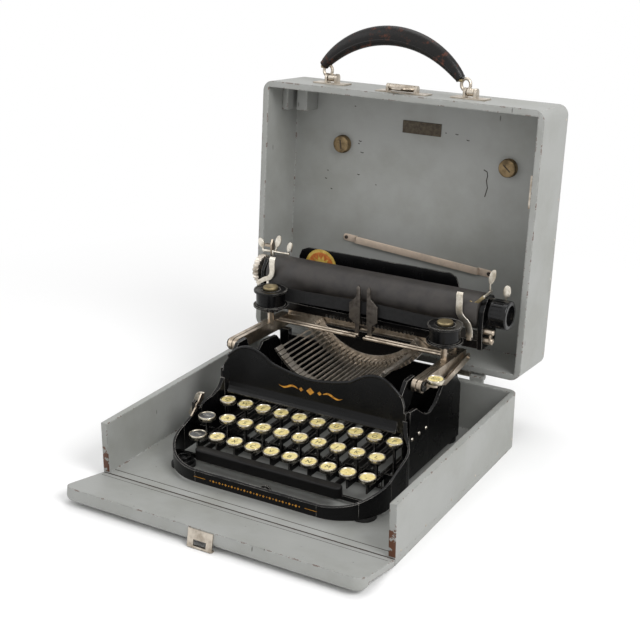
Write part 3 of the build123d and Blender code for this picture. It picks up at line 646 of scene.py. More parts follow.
BOARD = PaintedBoard()
TRAY_BOARD = PaintedBoard(name="painted plywood, torn at the wall ends", torn_ends=True)
ENAMEL = Enamel()
# The space bar's enamel keeps a faint painted highlight along its edges (rim); its steel colour serves both
# that painted highlight and the worn chips
KEY_ENAMEL = Enamel(name="black enamel on wood, worn", gloss=Gloss.SATIN, wear=0.56, rim=0.25,
                    black="#0d0c0c", steel="#8a7f74")
CASE_NICKEL = WornMetal("nickel plate on case fittings", "#c6bdb0", "#94897b", rough=0.36, cloud_mm=10.0)
NICKEL = WornMetal("nickel plate, warm with age", "#c4b7a6", "#8d8071", rough=0.3, cloud_mm=11.0)
PALE_NICKEL = WornMetal("nickel plate, bright", "#e6e0d4", "#b3a998", rough=0.3)
RING_NICKEL = WornMetal("nickel plate on key rings", "#cfc8b8", "#8d8475", rough=0.22, cloud_mm=4.0)
BAR_STEEL = WornMetal("type bar steel, oiled", "#d6cec3", "#9a9083", rough=0.3, cloud_mm=9.0,
                      metallic=0.9, bump=0.03)
SEGMENT_STEEL = WornMetal("segment steel, machined", "#cfc5b8", "#867b6e", rough=0.3, cloud_mm=5.0,
                          metallic=0.9, bump=0.05)
GUIDE_STEEL = WornMetal("type guide steel, blued and worn", "#7b756e", "#4c4743", rough=0.34, bump=0.04)
BRONZE = WornMetal("bronze pegs, tarnished", "#8a7657", "#5d4f3a", rough=0.48, metallic=0.8)
BRASS = WornMetal("brass nuts, tarnished", "#a0916f", "#6b5f48", rough=0.42, metallic=0.9)
STRAP_NICKEL = WornMetal("nickel plate, rubbed warm", "#d9c6b3", "#c2b1a1", rough=0.42,
                         cloud_mm=14.0, metallic=0.35)
LEATHER = Leather()
PLATEN = Rubber("platen rubber, ground")
FEET = Rubber("foot rubber, moulded", "#1e1d1c", "#0f0f0f", rough=0.62)
EBONITE = Rubber("ebonite, turned", "#151516", "#0a0a0b", rough=0.2, cloud_mm=12.0, grain_mm=3.0, specular=0.3)
RIBBON = Printed("inked cotton ribbon, woven", "#161617", "#0a0a0b", rough=0.8, grain_mm=0.6)
PAPER = Printed("key card under celluloid", "#f0e2a2", "#dcc67a", coat=0.6, rough=0.5)
BLACK_CARD = Printed("black key card under celluloid", "#232324", "#121213", coat=0.6, rough=0.5)
INK = Printed("printer's ink", "#1b1712", "#2b241a", rough=0.6)
GREY_INK = Printed("pale printer's ink", "#a7a49b", "#8b887f", rough=0.6)
GILT = Printed("gilt transfer, varnished", "#d99a32", "#a8711f", rough=0.42, coat=0.3, metallic=0.25)
ORANGE = Printed("transfer print, orange", "#d5823f", "#b5612c", rough=0.4, coat=0.4)
CREAM = Printed("transfer print, yellow", "#dcc062", "#bd9a45", rough=0.4, coat=0.4)
LABEL = Printed("label plate, dark brass", "#4a4131", "#33291d", rough=0.45, metallic=0.4)
DARK_SEAM = Printed("glue cloth in a seam", "#3a312b", "#241d19", rough=0.8)


# Places of moving parts: drawn closed, shown open


def swing(y: float, z: float, degrees: float) -> Matrix:
    """Return the turn about an X axis through (y, z), in millimetres."""
    hinge = Vector((0.0, y, z))
    turn = Matrix.Rotation(math.radians(degrees), 4, "X")
    return Matrix.Translation(hinge) @ turn @ Matrix.Translation(-hinge)


LID_HINGE = (129.0, 58.65)
FLAP_HINGE = (-125.5, 6.0)
LID_OPEN = swing(*LID_HINGE, -94.9)
FLAP_OPEN = swing(*FLAP_HINGE, 78.5)
STAY = Matrix.Identity(4)


@dataclass
class TravelCase:
    """The wooden case: tray, front flap and lid with its fittings, measured closed."""

    width: float = 290.0
    depth: float = 250.0
    tray_height: float = 54.0
    rim_gap: float = 0.3
    lid_height: float = 62.0
    wall: float = 6.0
    sheet: float = 0.9
    strap_half: float = 3.6
    peg_radius: float = 9.0
    peg_places: tuple[Flat, ...] = ((-83.5, -63.6), (94.6, -61.6))

    @property
    def top(self) -> float:
        """Return the height of the closed lid's outer face."""
        return self.tray_height + self.rim_gap + self.lid_height

    @property
    def under(self) -> float:
        """Return the height of the lid panel's inner face."""
        return self.top - self.wall

    def build(self) -> None:
        """Dress the boards and add seams, nails and fittings."""
        TRAY_BOARD.dress("case_tray")
        BOARD.dress("case_flap", "lid_shell")
        CASE_NICKEL.dress("catch_plate", "lid_hardware", "latch_lever")
        self.seams()
        self.nails()
        self.fittings()
        self.marks()
        self.hasp()

    def seams(self) -> None:
        """Lay the cloth seam of the flap, the groove of the floor and the groove of the flap."""
        half, front, hinge = self.width / 2, -self.depth / 2, FLAP_HINGE[0]
        for name, body, inset, y0, y1, z0, z1, bevel, move in (
                ("flap_seam", "case", 0.4, front - 0.9, front + 0.5, 5.4, 6.25, 0.2, STAY),
                ("floor_groove", "case", self.wall, front + 8.0, front + 8.7, 5.6, 6.12, 0.1, STAY),
                ("flap_groove", "flap", 3.0, hinge - 0.12, hinge + 0.02, 12.0, 12.7, 0.0, FLAP_OPEN)):
            line = placed(bar(inset - half, half - inset, y0, y1, z0, z1), move)
            make_piece(name, line, [DARK_SEAM], body, bevel=bevel)

    def nails(self) -> None:
        """Drive the panel pins along the right-hand and left-hand corners."""
        head = lathe([(0.0, 0.28), (0.9, 0.18), (1.2, -0.2), (0.0, -0.2)], 14)
        for name, body, z, places, move in (
                ("tray_nails", "case", 9.0, (-115, -70, -20, 30, 80, 115), STAY),
                ("lid_nails", "lid", self.top - 4.0, (-112, -75, -38, 0, 38, 75, 112), LID_OPEN)):
            heads = [placed(head, moved(side * self.width / 2, y, z, side, "Y")) for side in SIDES
                     for y in places]
            make_piece(name, placed(joined(*heads), move), [CASE_NICKEL], body)

    def fitting(self, name: str, shape: Shape, finish: Finish,
                bevel: float = 0.0) -> None:
        """Make a piece that takes the place of a plain CAD one inside the lid."""
        piece = make_piece(name, placed(shape, LID_OPEN), [finish], "lid", bevel=bevel)
        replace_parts(piece, "lid_fittings")

    def fittings(self) -> None:
        """Make the pegs, the strap, the bare label plate and the battens inside the lid."""
        r, thick, half, under = self.peg_radius, self.sheet, self.strap_half, self.under
        peg = lathe([(0.0, -6.0), (r - 2.0, -6.0), (r - 0.9, -5.7), (r - 0.4, -5.0), (r - 0.3, -1.8), (r, -1.5),
                     (r, -0.2), (r - 0.4, 0.0), (0.0, 0.0)], 36)
        for i, (x, y) in enumerate(self.peg_places):
            self.fitting(f"lid_peg_{i + 1}", placed(peg, moved(x, y, under)), BRONZE)
            slot = placed(bar(-r + 4.4, r - 4.4, -0.6, 0.6, -6.12, -5.6),
                          Matrix.Rotation(1.4 - 0.7 * i, 4, "Z"))
            make_piece(f"peg_slot_{i + 1}", placed(slot, LID_OPEN @ moved(x, y, under)), [DARK_SEAM],
                       "lid")
        turn = Matrix.Translation((5, 36.8, 0)) @ Matrix.Rotation(math.radians(4.45), 4, "Z")
        middle = strip([(-68 + 17 * k, 0.0) for k in range(9)], lambda s: half, thick)
        strips = [placed(middle, moved(0, 0, under - 3.0))]
        screws: list[Shape] = []
        for side in SIDES:
            path = [(side * x, 0.0) for x in (67.0, 70.0, 73.0, 76.0, 79.0, 80.5, 81.6, 82.3, 82.6)]
            end = strip(path, lambda s: half * math.sqrt(max(0.02, 1 - (max(0.0, s - 0.45) / 0.55) ** 2)),
                        thick)
            strips.append(placed(end, moved(0, 0, under - thick)))
            strips.append(bar(*sorted((side * 66.6, side * 68.2)), -half, half, under - 3.0, under - 0.1))
            head = lathe([(0.0, -1.3), (1.2, -1.2), (1.9, -0.5), (1.9, 0.0), (0.0, 0.0)], 20)
            screws.append(placed(head, moved(side * 79.2, 0, under - thick)))
        self.fitting("paper_strap", placed(joined(*strips), turn), STRAP_NICKEL, bevel=0.25)
        make_piece("strap_screws", placed(joined(*screws), LID_OPEN @ turn), [DARK_SEAM], "lid")
        self.fitting("label_plate", bar(-18.4, 22.6, -94.6, -82.4, under - 0.8, under), LABEL, bevel=0.3)
        front = self.wall - self.depth / 2
        battens = [bar(a, b, front, front + 24, under - deep, under) for a, b, deep in
                   ((-138.9, -132.5, 30.0), (-127.0, -115.0, 22.0), (119.0, 136.0, 2.0))]
        self.fitting("lid_battens", joined(*battens), BOARD, 0.6)

    def marks(self) -> None:
        """Scratch the paint of the lid: one long crack and a few dark specks."""
        crack = [(69.5, -56.7), (73.1, -55.0), (73.9, -51.3), (73.1, -46.4), (74.7, -39.9), (73.6, -35.0),
                 (72.6, -30.9)]
        shapes = [strip(crack, lambda s: 0.45, 0.1)]
        specks = [(-64.5, -68.5, 3.2), (-65.8, -65.9, 1.6), (-61.8, -57.4, 3.4), (-99.7, -34.9, 1.3),
                  (-101.5, -26.5, 2.2), (-94.5, -16.6, 1.9), (-64.4, -34.9, 2.4), (-44.1, -27.1, 1.1),
                  (-72.0, -102.4, 1.4), (39.2, -86.8, 3.0), (51.0, -82.4, 2.8), (27.7, -86.9, 1.2)]
        shapes += [strip([(x - size / 2, y - 0.3), (x, y + 0.3), (x + size / 2, y)], lambda s: 0.4, 0.1)
                   for x, y, size in specks]
        scratched = placed(joined(*shapes), LID_OPEN @ moved(0, 0, self.under - 0.1))
        make_piece("paint_marks", scratched, [DARK_SEAM], "lid", smooth=False)

    def hasp(self) -> None:
        """Bend the wire loop that hangs from the lid's latch."""
        y, z = -self.depth / 2 - 5.0, self.tray_height + self.rim_gap + 14.0
        path = [(x, y, z - drop) for x, drop in ((-13.4, 0.0), (-13.2, 4.0), (-5.2, 9.2), (-5.0, 12.8),
                                                 (3.0, 12.8), (3.2, 9.2), (11.2, 4.0), (11.4, 0.0))]

        def thick(share: float) -> float:
            """Return the wire's radius, which is less where the loop passes the catch."""
            return 1.1 if abs(share - 0.5) > 0.32 else 0.55

        wire = tube(smooth_line(path, 3), thick, thick, Vector((0, 1, 0)), 10)
        make_piece("hasp_wire", placed(wire, LID_OPEN), [NICKEL], "latch")


@dataclass
class CarryHandle:
    """The leather handle with its metal links, measured with the lid closed."""

    centre: float = -11.0
    span: float = 146.0
    lean: float = 10.6
    grip_half: float = 72.6
    rise: float = 44.5
    start_rise: float = 11.0
    half_width: float = 6.5
    half_height: float = 9.2
    pivot_y: float = -131.0
    pivot_z: float = 82.3

    def arc(self, share: float, out: float = 0.0) -> Point:
        """Return a point of the grip's arc at a share of its length, some way outside its centre line."""
        half = self.grip_half
        sag = self.rise - self.start_rise
        radius = (half * half + sag * sag) / (2 * sag)
        turn = math.asin(half / radius) * (2 * share - 1)
        x = self.centre - self.lean + (radius + out) * math.sin(turn)
        high = self.rise - radius + (radius + out) * math.cos(turn)
        return x, self.pivot_y - high, self.pivot_z

    def swell(self, end: float, middle: float, share: float) -> float:
        """Return a half size that swells from the grip's ends to its middle."""
        return end + (middle - end) * math.sin(math.pi * min(max(share, 0.0), 1.0)) ** 0.6

    def wide(self, share: float) -> float:
        """Return half the grip's width across the arc."""
        return self.swell(4.4, self.half_width, share)

    def tall(self, share: float) -> float:
        """Return half the grip's height in the arc."""
        return self.swell(4.2, self.half_height, share)

    def part(self, name: str, shape: Shape, finish: Finish = LEATHER, bevel: float = 0.0) -> Object:
        """Make a piece that rides on the handle."""
        return make_piece(name, placed(shape, LID_OPEN), [finish], "handle", bevel=bevel)

    def build(self) -> None:
        """Make the grip, its welted seams, the two links and the ferrules."""
        up = Vector((0, 0, 1))
        grip = tube([self.arc(k / 40) for k in range(41)], self.wide, self.tall, up, 28)
        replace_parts(self.part("grip_leather", grip), "handle_grip")
        for side, name in zip(SIDES, ("left", "right")):
            edge = []
            for s in [0.06 + 0.88 * k / 40 for k in range(41)]:
                x, y, z = self.arc(s, -self.tall(s) * 0.42)
                edge.append((x, y, z + side * self.wide(s) * 0.93))
            self.part(f"grip_welt_{name}", tube(edge, lambda s: 0.75, lambda s: 1.0, up, 10))
        y, z = self.pivot_y, self.pivot_z
        for i, side in enumerate(SIDES):
            x = self.centre + side * self.span / 2
            a = self.centre - self.lean + side * self.grip_half
            turns = [math.radians(d) for d in range(0, 361, 20)]
            loop = [(x + (a - x) * 0.5 + 4.6 * math.sin(t), y - 6.5 - 5.4 * math.cos(t), z) for t in turns]
            link = tube(loop, lambda s: 1.7, lambda s: 1.5, up, 10)
            eye = lathe([(1.8, -3.4), (3.2, -3.4), (3.6, -3.0), (3.6, 3.0), (3.2, 3.4), (1.8, 3.4),
                         (1.8, -3.4)], 24)
            both = joined(link, placed(eye, moved(x, y, z, 1, "Y")))
            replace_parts(self.part(f"handle_link_{i + 1}", both, CASE_NICKEL), "handle_grip")
            end = self.arc(float(i))
            tongue = tube([end, (a, y - 8.6, z)], lambda s: 3.4, lambda s: 3.2 - 0.8 * s, up, 16)
            self.part(f"grip_tongue_{i + 1}", tongue, BRASS, 0.4)
            cap = tube([end, self.arc(0.95 if i else 0.05)], lambda s: 4.9, lambda s: 4.8, up, 24)
            self.part(f"grip_ferrule_{i + 1}", cap, bevel=0.5)


@dataclass
class MachineBody:
    """The black frame, the curved panel above the keys and the low front rail."""

    panel_y: float = -7.5
    panel_thickness: float = 2.5
    panel_top: tuple[Flat, ...] = (
        (0, 83.3), (11, 84.3), (22, 86), (33, 88.5), (41, 91), (48, 95.5), (56, 99.5), (63, 101), (70, 100.6),
        (77, 97.6), (84, 92.2), (91, 84.6), (93.0, 78))
    rail_y: float = -104.0
    rivets: tuple[Flat, ...] = ((-2.5, 46.3), (11.0, 46.8), (25.0, 46.3))
    plate_x: float = 98.0

    def build(self) -> None:
        """Dress the frame and add its edge bead, gilding, rivets, hook and foot cups."""
        ENAMEL.dress("machine_frame", "front_panel", "key_comb")
        FEET.dress("rubber_feet")
        self.bead()
        self.gilding()
        self.small_parts()

    def bead(self) -> None:
        """Roll the panel's top edge."""
        half = list(self.panel_top[:-2]) + [(88.0, 88.2)]
        left = [(-x, z) for x, z in reversed(half[1:])]
        y = self.panel_y - self.panel_thickness / 2
        line = [(x, y, z - 0.4) for x, z in smooth_line(left + half, 5)]
        bead = tube(line, lambda s: 1.75, lambda s: 1.5, Vector((0, 1, 0)), 12)
        make_piece("panel_bead", bead, [ENAMEL], "case")

    def gilding(self) -> None:
        """Lay a plain lozenge scroll on the panel and a pinstripe on the front rail."""
        leaf, lift = 0.12, 0.06
        marks = [lozenge(4.0, 3.6, leaf)]
        shares = [k / 14 for k in range(15)]
        for side in SIDES:
            marks.append(placed(lozenge(2.2, 2.0, leaf), moved(side * 9.5, 0, 0)))
            sweep = [(side * (13 + 20 * t), 1.6 * math.sin(2 * math.pi * t)) for t in shares]
            width = [1.05 * math.sin(math.pi * min(1.0, 0.12 + k / 16)) for k in range(15)]
            upper = [(px, pz + w) for (px, pz), w in zip(sweep, width)]
            lower = [(px, pz - w) for (px, pz), w in zip(sweep, width)]
            marks.append(plate(lower + upper[::-1] if side > 0 else upper + lower[::-1], leaf))
        stripes = [bar(a, b, 14.1, 14.5, 0.0, leaf) for a, b in ((-62, -50), (50, 62))]
        for k in range(-14, 15):
            size = 1.25 if k % 2 else 0.8
            stripes.append(placed(lozenge(size, size, leaf), moved(k * 3.2, 14.3, 0)))
        for name, shapes, y, z in (("panel_gilding", marks, self.panel_y - self.panel_thickness, 72.6),
                                   ("rail_gilding", stripes, self.rail_y, 0.0)):
            make_piece(name, placed(joined(*shapes), moved(0, y - lift, z, 1)), [GILT], "case",
                       smooth=False)

    def small_parts(self) -> None:
        """Add the bright rivets, the hook behind the rail and the cups over the front feet."""
        head = lathe([(0.0, 1.25), (0.9, 1.1), (1.7, 0.5), (1.9, 0.0), (0.0, 0.0)], 18)
        for side, name in zip(SIDES, ("left", "right")):
            rivets = [placed(head, moved(side * self.plate_x, y, z, side, "Y")) for y, z in self.rivets]
            make_piece(f"plate_rivets_{name}", joined(*rivets), [PALE_NICKEL], "case")
        ear = [(10.0, 23.4), (13.4, 22.4), (15.4, 19.6), (16.6, 14.0)]
        turns = [math.pi * (0.5 - k / 8) for k in range(9)]
        bore = [(10.0 + 2.5 * math.cos(a), 18.4 + 2.5 * math.sin(a)) for a in turns]
        half_right = [(10.0, 14.0)] + ear[::-1] + [(10.0, 23.4)] + bore
        half_left = [(20.0 - x, z) for x, z in reversed(half_right)]
        hook = placed(joined(plate(half_right, 1.6), plate(half_left, 1.6)), moved(0, -99.8, 0, 1))
        make_piece("rail_hook", hook, [ENAMEL], "case", smooth=False)
        for i, (x, y) in enumerate(((-92, -78), (92, -78))):
            cup = lathe([(4.0, 13.0), (4.4, 15.2), (6.6, 15.2), (7.2, 13.0), (4.0, 13.0)], 28)
            screw = lathe([(0.0, 14.8), (2.4, 14.5), (3.4, 13.4), (3.4, 13.0), (0.0, 13.0)], 20)
            spot = moved(x, y, 0)
            make_piece(f"foot_cup_{i + 1}", placed(joined(cup, screw), spot), [ENAMEL], "case")


@dataclass
class Keyboard:
    """Twenty-eight ringed keys in three rows, two shift keys, a back-space key and the bar."""

    pitch: float = 19.05
    radius: float = 7.6
    shift_radius: float = 8.0
    thickness: float = 3.2
    rows: tuple[tuple[str, float, float, float, str], ...] = (
        ("QWERTYUIOP", -81.5, -20.0, 50.0, "1234567890"),
        ("ASDFGHJKL", -69.0, -40.0, 42.0, "-/@#%&()'"),
        ("ZXCVBNM.,", -66.5, -61.0, 33.0, "=*+:;!?\"_"))
    shifts: tuple[tuple[str, str, float, float, float], ...] = (
        ("cap_key", "CAP", -88.2, -45.0, 42.0), ("fig_key", "FIG", -84.6, -65.0, 33.0))
    back_space: Point = (109.5, 16.5, 98.8)
    blade_y: float = -26.8

    def build(self) -> None:
        """Make every key top and dress the levers."""
        KEY_ENAMEL.dress("space_bar")
        for r, (letters, x0, y, z, figures) in enumerate(self.rows):
            for i, letter in enumerate(letters):
                name = f"key_{r + 1}_{i + 1}"
                ENAMEL.dress(name)
                self.key_top(f"{name}_top", name, (x0 + i * self.pitch, y, z), self.radius, letter, figures[i])
        for node, word, x, y, z in self.shifts:
            ENAMEL.dress(node)
            self.key_top(f"{node}_top", node, (x, y, z), self.shift_radius, word, "")
        NICKEL.dress("back_space_key", "margin_lever")
        self.margin_blade()
        self.key_top("back_space_top", "back_space", self.back_space, self.radius, "BACK\nSPACE", "")

    def margin_blade(self) -> None:
        """Make the broad finger blade of the margin lever beside the keys."""
        sheet = 1.3

        def half(share: float) -> float:
            """Return the blade's half width: rounded at both ends and broader above."""
            return 3.3 * math.sqrt(max(0.08, 1 - abs(2 * share - 1.0) ** 5)) * (0.72 + 0.28 * share)

        path = smooth_line([(-120.6, 28.8), (-117.6, 33.0), (-114.6, 38.0), (-112.0, 44.6), (-109.9, 52.6)], 4)
        blade = strip(path, half, sheet)
        tie = strip([(-110.3, 52.4), (-107.5, 53.6), (-102.8, 54.0)], lambda s: 1.1, sheet)
        make_piece("margin_blade", placed(joined(blade, tie), moved(0, self.blade_y, 0, 1)), [PALE_NICKEL],
                   "margin_lever", bevel=0.3)

    def key_top(self, name: str, body: str, at: Point, radius: float, word: str, figure: str) -> None:
        """Make one key top: a rolled ring, a card under celluloid, its letter or word and any sign above."""
        r = radius
        depth = self.thickness
        ring = lathe([(r - 1.15, 0.12), (r - 1.0, 0.55), (r - 0.6, 0.85), (r - 0.1, 0.75), (r + 0.18, 0.3),
                      (r + 0.22, -0.6), (r + 0.1, -depth + 0.5), (r - 0.5, -depth - 0.2),
                      (r - 3.0, -depth - 0.3), (0.0, -depth - 0.3)], 40)
        card = lathe([(0.0, 0.42), (r * 0.4, 0.38), (r * 0.7, 0.3), (r - 1.0, 0.16), (r - 1.05, -0.1),
                      (0.0, -0.1)], 40)
        size = {1: 6.6, 3: 4.3}.get(len(word), 2.9)
        film, height = 0.08, 0.4
        ink = placed(lettering(word, size, film), moved(0, -0.9 if figure else 0, height))
        if figure:
            ink = joined(ink, placed(lettering(figure, 3.0, film), moved(0, 3.9, height - film)))
        finishes: list[Finish] = [RING_NICKEL, *((BLACK_CARD, GREY_INK) if len(word) == 3 else (PAPER, INK))]
        numbers = [k for k, shape in enumerate((ring, card, ink)) for _ in shape[1]]
        top = placed(joined(ring, card, ink), moved(*at))
        make_piece(name, top, finishes, body, faces_of=numbers)


@dataclass
class TypeBasket:
    """The slotted segment with its fan of type bars."""

    def build(self) -> None:
        """Dress the segment and the bars."""
        SEGMENT_STEEL.dress("type_segment")
        BAR_STEEL.dress("typebars", "typebar_demo")


@dataclass
class Carriage:
    """The folding carriage: arms, platen, paper table, spools, ribbon and small levers."""

    axis_y: float = 110.0
    axis_z: float = 132.0
    platen_radius: float = 17.0
    platen_half: float = 112.0
    spool_x: float = 92.0
    spool_y: float = 71.0
    spool_top: float = 128.0
    plate_half: float = 116.0
    petal_y: float = 116.8
    badge_place: Point = (-70.0, 129.05, 138.0)
    table_lean: float = 87.0

    def build(self) -> None:
        """Dress the carriage and add its fine parts."""
        NICKEL.dress("fold_arms", "line_space_lever")
        ENAMEL.dress("carriage_frame", "paper_table", "spool_left", "spool_right")
        GUIDE_STEEL.dress("vibrator")
        EBONITE.dress("platen_knob")
        RIBBON.dress("ribbon")
        self.platen()
        self.fingers()
        self.levers()
        self.spools()
        self.badge()

    def along_axis(self, shape: Shape) -> Shape:
        """Lay a shape turned about Z on the platen's axis, its height becoming X."""
        return placed(shape, moved(0, self.axis_y, self.axis_z, 1, "Y"))

    def roller_part(self, name: str, shape: Shape, finish: Finish, bevel: float = 0.0) -> None:
        """Make a turned part on the platen's axis in place of the plain CAD platen."""
        piece = make_piece(name, self.along_axis(shape), [finish], "roller", bevel=bevel)
        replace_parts(piece, "platen")

    def platen(self) -> None:
        """Make the roll, its axle and the ratchet wheel."""
        r, h = self.platen_radius, self.platen_half
        roll = lathe([(0.0, -h), (r - 1.2, -h), (r - 0.3, -h + 0.5), (r, -h + 1.4), (r, -h * 0.33),
                      (r, h * 0.33), (r, h - 1.4), (r - 0.3, h - 0.5), (r - 1.2, h), (0.0, h)], 64)
        axle = lathe([(0.0, -131.0), (3.4, -131.0), (4.0, -130.4), (4.0, -h), (0.0, -h)], 24)
        far = lathe([(0.0, h), (4.0, h), (4.0, 132.6), (3.4, 133.2), (0.0, 133.2)], 24)
        tooth = ((12.6, 0.0), (14.4, 0.08), (14.0, 0.2))
        teeth = [polar(size, 2 * math.pi * k / 20 + turn) for k in range(20) for size, turn in tooth]
        self.roller_part("platen_roll", roll, PLATEN)
        self.roller_part("platen_axle", joined(axle, far), NICKEL)
        self.roller_part("ratchet_wheel", placed(plate(teeth, 6.2), moved(0, 0, -129.0)), BAR_STEEL, 0.25)

    def petal(self, base: Flat, tip: Flat, width: float, sway: float = 0.0) -> Shape:
        """Make a leaf-shaped finger piece that stands behind the platen.

        Args:
            base: (x, z) of its narrow foot.
            tip: (x, z) of its rounded end.
            width: width of the leaf.
            sway: how far its stem bends to the right.

        Returns:
            The shape in its place.
        """
        (x0, z0), (x1, z1) = base, tip
        path = [(x0 + (x1 - x0) * s + sway * math.sin(math.pi * s), z0 + (z1 - z0) * s)
                for s in [k / 24 for k in range(25)]]

        def half(share: float) -> float:
            """Return the half width: a plain stem, then a rounded leaf."""
            far = (share - 0.67) / 0.34
            return max(0.8 if share < 0.7 else 0.35, width / 2 * math.sqrt(max(0.0, 1 - far * far)))

        return placed(strip(path, half, 1.5), moved(0, self.petal_y, 0, 1))

    def bright(self, name: str, shape: Shape, finish: Finish = PALE_NICKEL, body: str = "carriage") -> Object:
        """Make a bright fitting with softened edges."""
        return make_piece(name, shape, [finish], body, bevel=0.3)

    def fingers(self) -> None:
        """Make the two bent paper fingers on the front of the platen."""
        left = smooth_line([(-102.6, 151.0), (-103.0, 145.0), (-103.0, 137.0), (-106.0, 131.4), (-113.0, 128.2),
                            (-120.6, 122.6)], 4)
        right = smooth_line([(95.8, 151.0), (96.0, 143.0), (96.2, 134.0), (99.2, 128.8), (104.6, 124.0),
                             (107.0, 117.6), (107.0, 111.6)], 4)
        bent = joined(strip(left, lambda s: 3.4 - 1.5 * s, 1.4), strip(right, lambda s: 3.2, 1.4))
        shapes = [placed(bent, moved(0, 92.2, 0, 1)), bar(-109.4, -106.6, 90.8, 92.2, 108.6, 130.0),
                  bar(-109.4, -106.6, 90.8, 97.0, 108.6, 110.2), bar(104.4, 109.0, 90.8, 97.0, 108.6, 111.8)]
        upright = Matrix(((0, 0, 1, 0), (1, 0, 0, 0), (0, 1, 0, 0), (0, 0, 0, 1)))
        lip = placed(strip([(91.5, 150.0), (92.0, 151.2), (93.4, 152.2)], lambda s: 0.7, 6.2), upright)
        shapes += [placed(lip, moved(x - 3.1, 0, 0)) for x in (-102.7, 95.8)]
        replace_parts(self.bright("bent_fingers", joined(*shapes)), "paper_fingers")

    def levers(self) -> None:
        """Make the leaf-shaped release levers in place of the plain ones."""
        edge = self.plate_half
        rod = placed(lathe([(0.0, 0.0), (1.2, 0.0), (1.2, 19.0), (0.0, 19.0)], 14),
                     moved(-edge - 1.0, 116, self.axis_z + 17.6, 1, "Y"))
        bracket = bar(-edge - 1.6, -edge + 0.2, 114.5, 117.5, 142.0, 151.0)
        near = [self.petal((-114.6, 148.5), (-109.0, 167.0), 6.2),
                self.petal((-101.2, 147.0), (-95.9, 162.0), 5.8)]
        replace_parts(self.bright("release_levers", joined(rod, bracket, *near)), "carriage_levers")
        far = [self.petal((114.6, 149.0), (118.6, 170.6), 6.0, -0.9),
               self.petal((130.0, 140.0), (132.0, 158.0), 7.0)]
        stem = bar(115.8, 130.6, 115.4, 116.8, 141.0, 143.6)
        arm = bar(116.0, 117.6, 97.4, 116.0, 149.0, 151.4)
        self.bright("right_petals", joined(stem, arm, *far))
        hook = strip(smooth_line([(102.6, 142.6), (107.0, 141.6), (111.6, 145.0), (117.0, 150.4)], 5),
                     lambda s: 2.2 if s < 0.25 else 1.5, 1.2)
        self.bright("release_curl", placed(hook, moved(0, 98.6, 0, 1)), BRASS)
        right = edge + 2.0
        boss = lathe([(0.0, 0.0), (3.4, 0.0), (3.4, 7.6), (2.8, 8.6), (1.3, 9.0), (0.0, 8.4)], 26)
        small = lathe([(0.0, 0.0), (2.8, 0.0), (2.8, 8.8), (2.3, 9.8), (0.0, 10.0)], 24)
        link = bar(right + 5.6, right + 7.2, 96.8, 101.8, 106.5, 118.5)
        low = joined(placed(boss, moved(right, 100, 108, 1, "Y")),
                     placed(small, moved(right, 99, 117, 1, "Y")), link)
        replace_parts(self.bright("margin_release", low, NICKEL), "carriage_levers")
        thumb = placed(self.petal((-129.4, 146.6), (-134.0, 160.2), 6.6), moved(0, 2.8, 0))
        root = bar(-131.2, -118.6, 117.6, 119.4, 147.6, 149.6)
        self.bright("line_space_thumb", joined(thumb, root), body="line_space")

    def spools(self) -> None:
        """Cap the spools with bright nuts and turned rings."""
        for side, body in ((-1, "spool_l"), (1, "spool_r")):
            spot = moved(side * self.spool_x, self.spool_y, self.spool_top)
            nut = lathe([(0.0, 3.2), (5.6, 3.2), (6.9, 3.0), (7.3, 2.4), (7.3, 0.9), (6.8, 0.05), (0.0, 0.05)],
                        36)
            make_piece(f"{body}_nut", placed(nut, spot), [BRASS], body)
            rings = joined(lathe([(9.0, 0.0), (9.2, 0.45), (9.8, 0.45), (10.0, 0.0), (9.0, 0.0)], 40),
                           lathe([(14.8, 0.0), (15.0, 0.6), (15.9, 0.55), (16.2, -0.2), (14.8, 0.0)], 48))
            make_piece(f"{body}_rings", placed(rings, spot), [ENAMEL], body)

    def badge(self) -> None:
        """Lay a plain round transfer, half hidden, on the paper table."""
        disc = lathe([(0.0, 0.1), (17.0, 0.1), (17.0, 0.0), (0.0, 0.0)], 56)
        ring = lathe([(14.4, 0.16), (17.4, 0.16), (17.4, 0.0), (14.4, 0.0), (14.4, 0.16)], 56)
        star = [polar(12.0 if k % 2 else 7.0, math.pi * k / 12) for k in range(24)]
        lean = Matrix.Rotation(math.radians(self.table_lean), 4, "X")
        spot = Matrix.Translation(self.badge_place) @ lean
        print_over = joined(ring, plate(star, 0.14))
        numbers = [0] * len(disc[1]) + [1] * len(print_over[1])
        make_piece("table_transfer", placed(joined(disc, print_over), spot), [ORANGE, CREAM], "carriage",
                   faces_of=numbers, smooth=False)


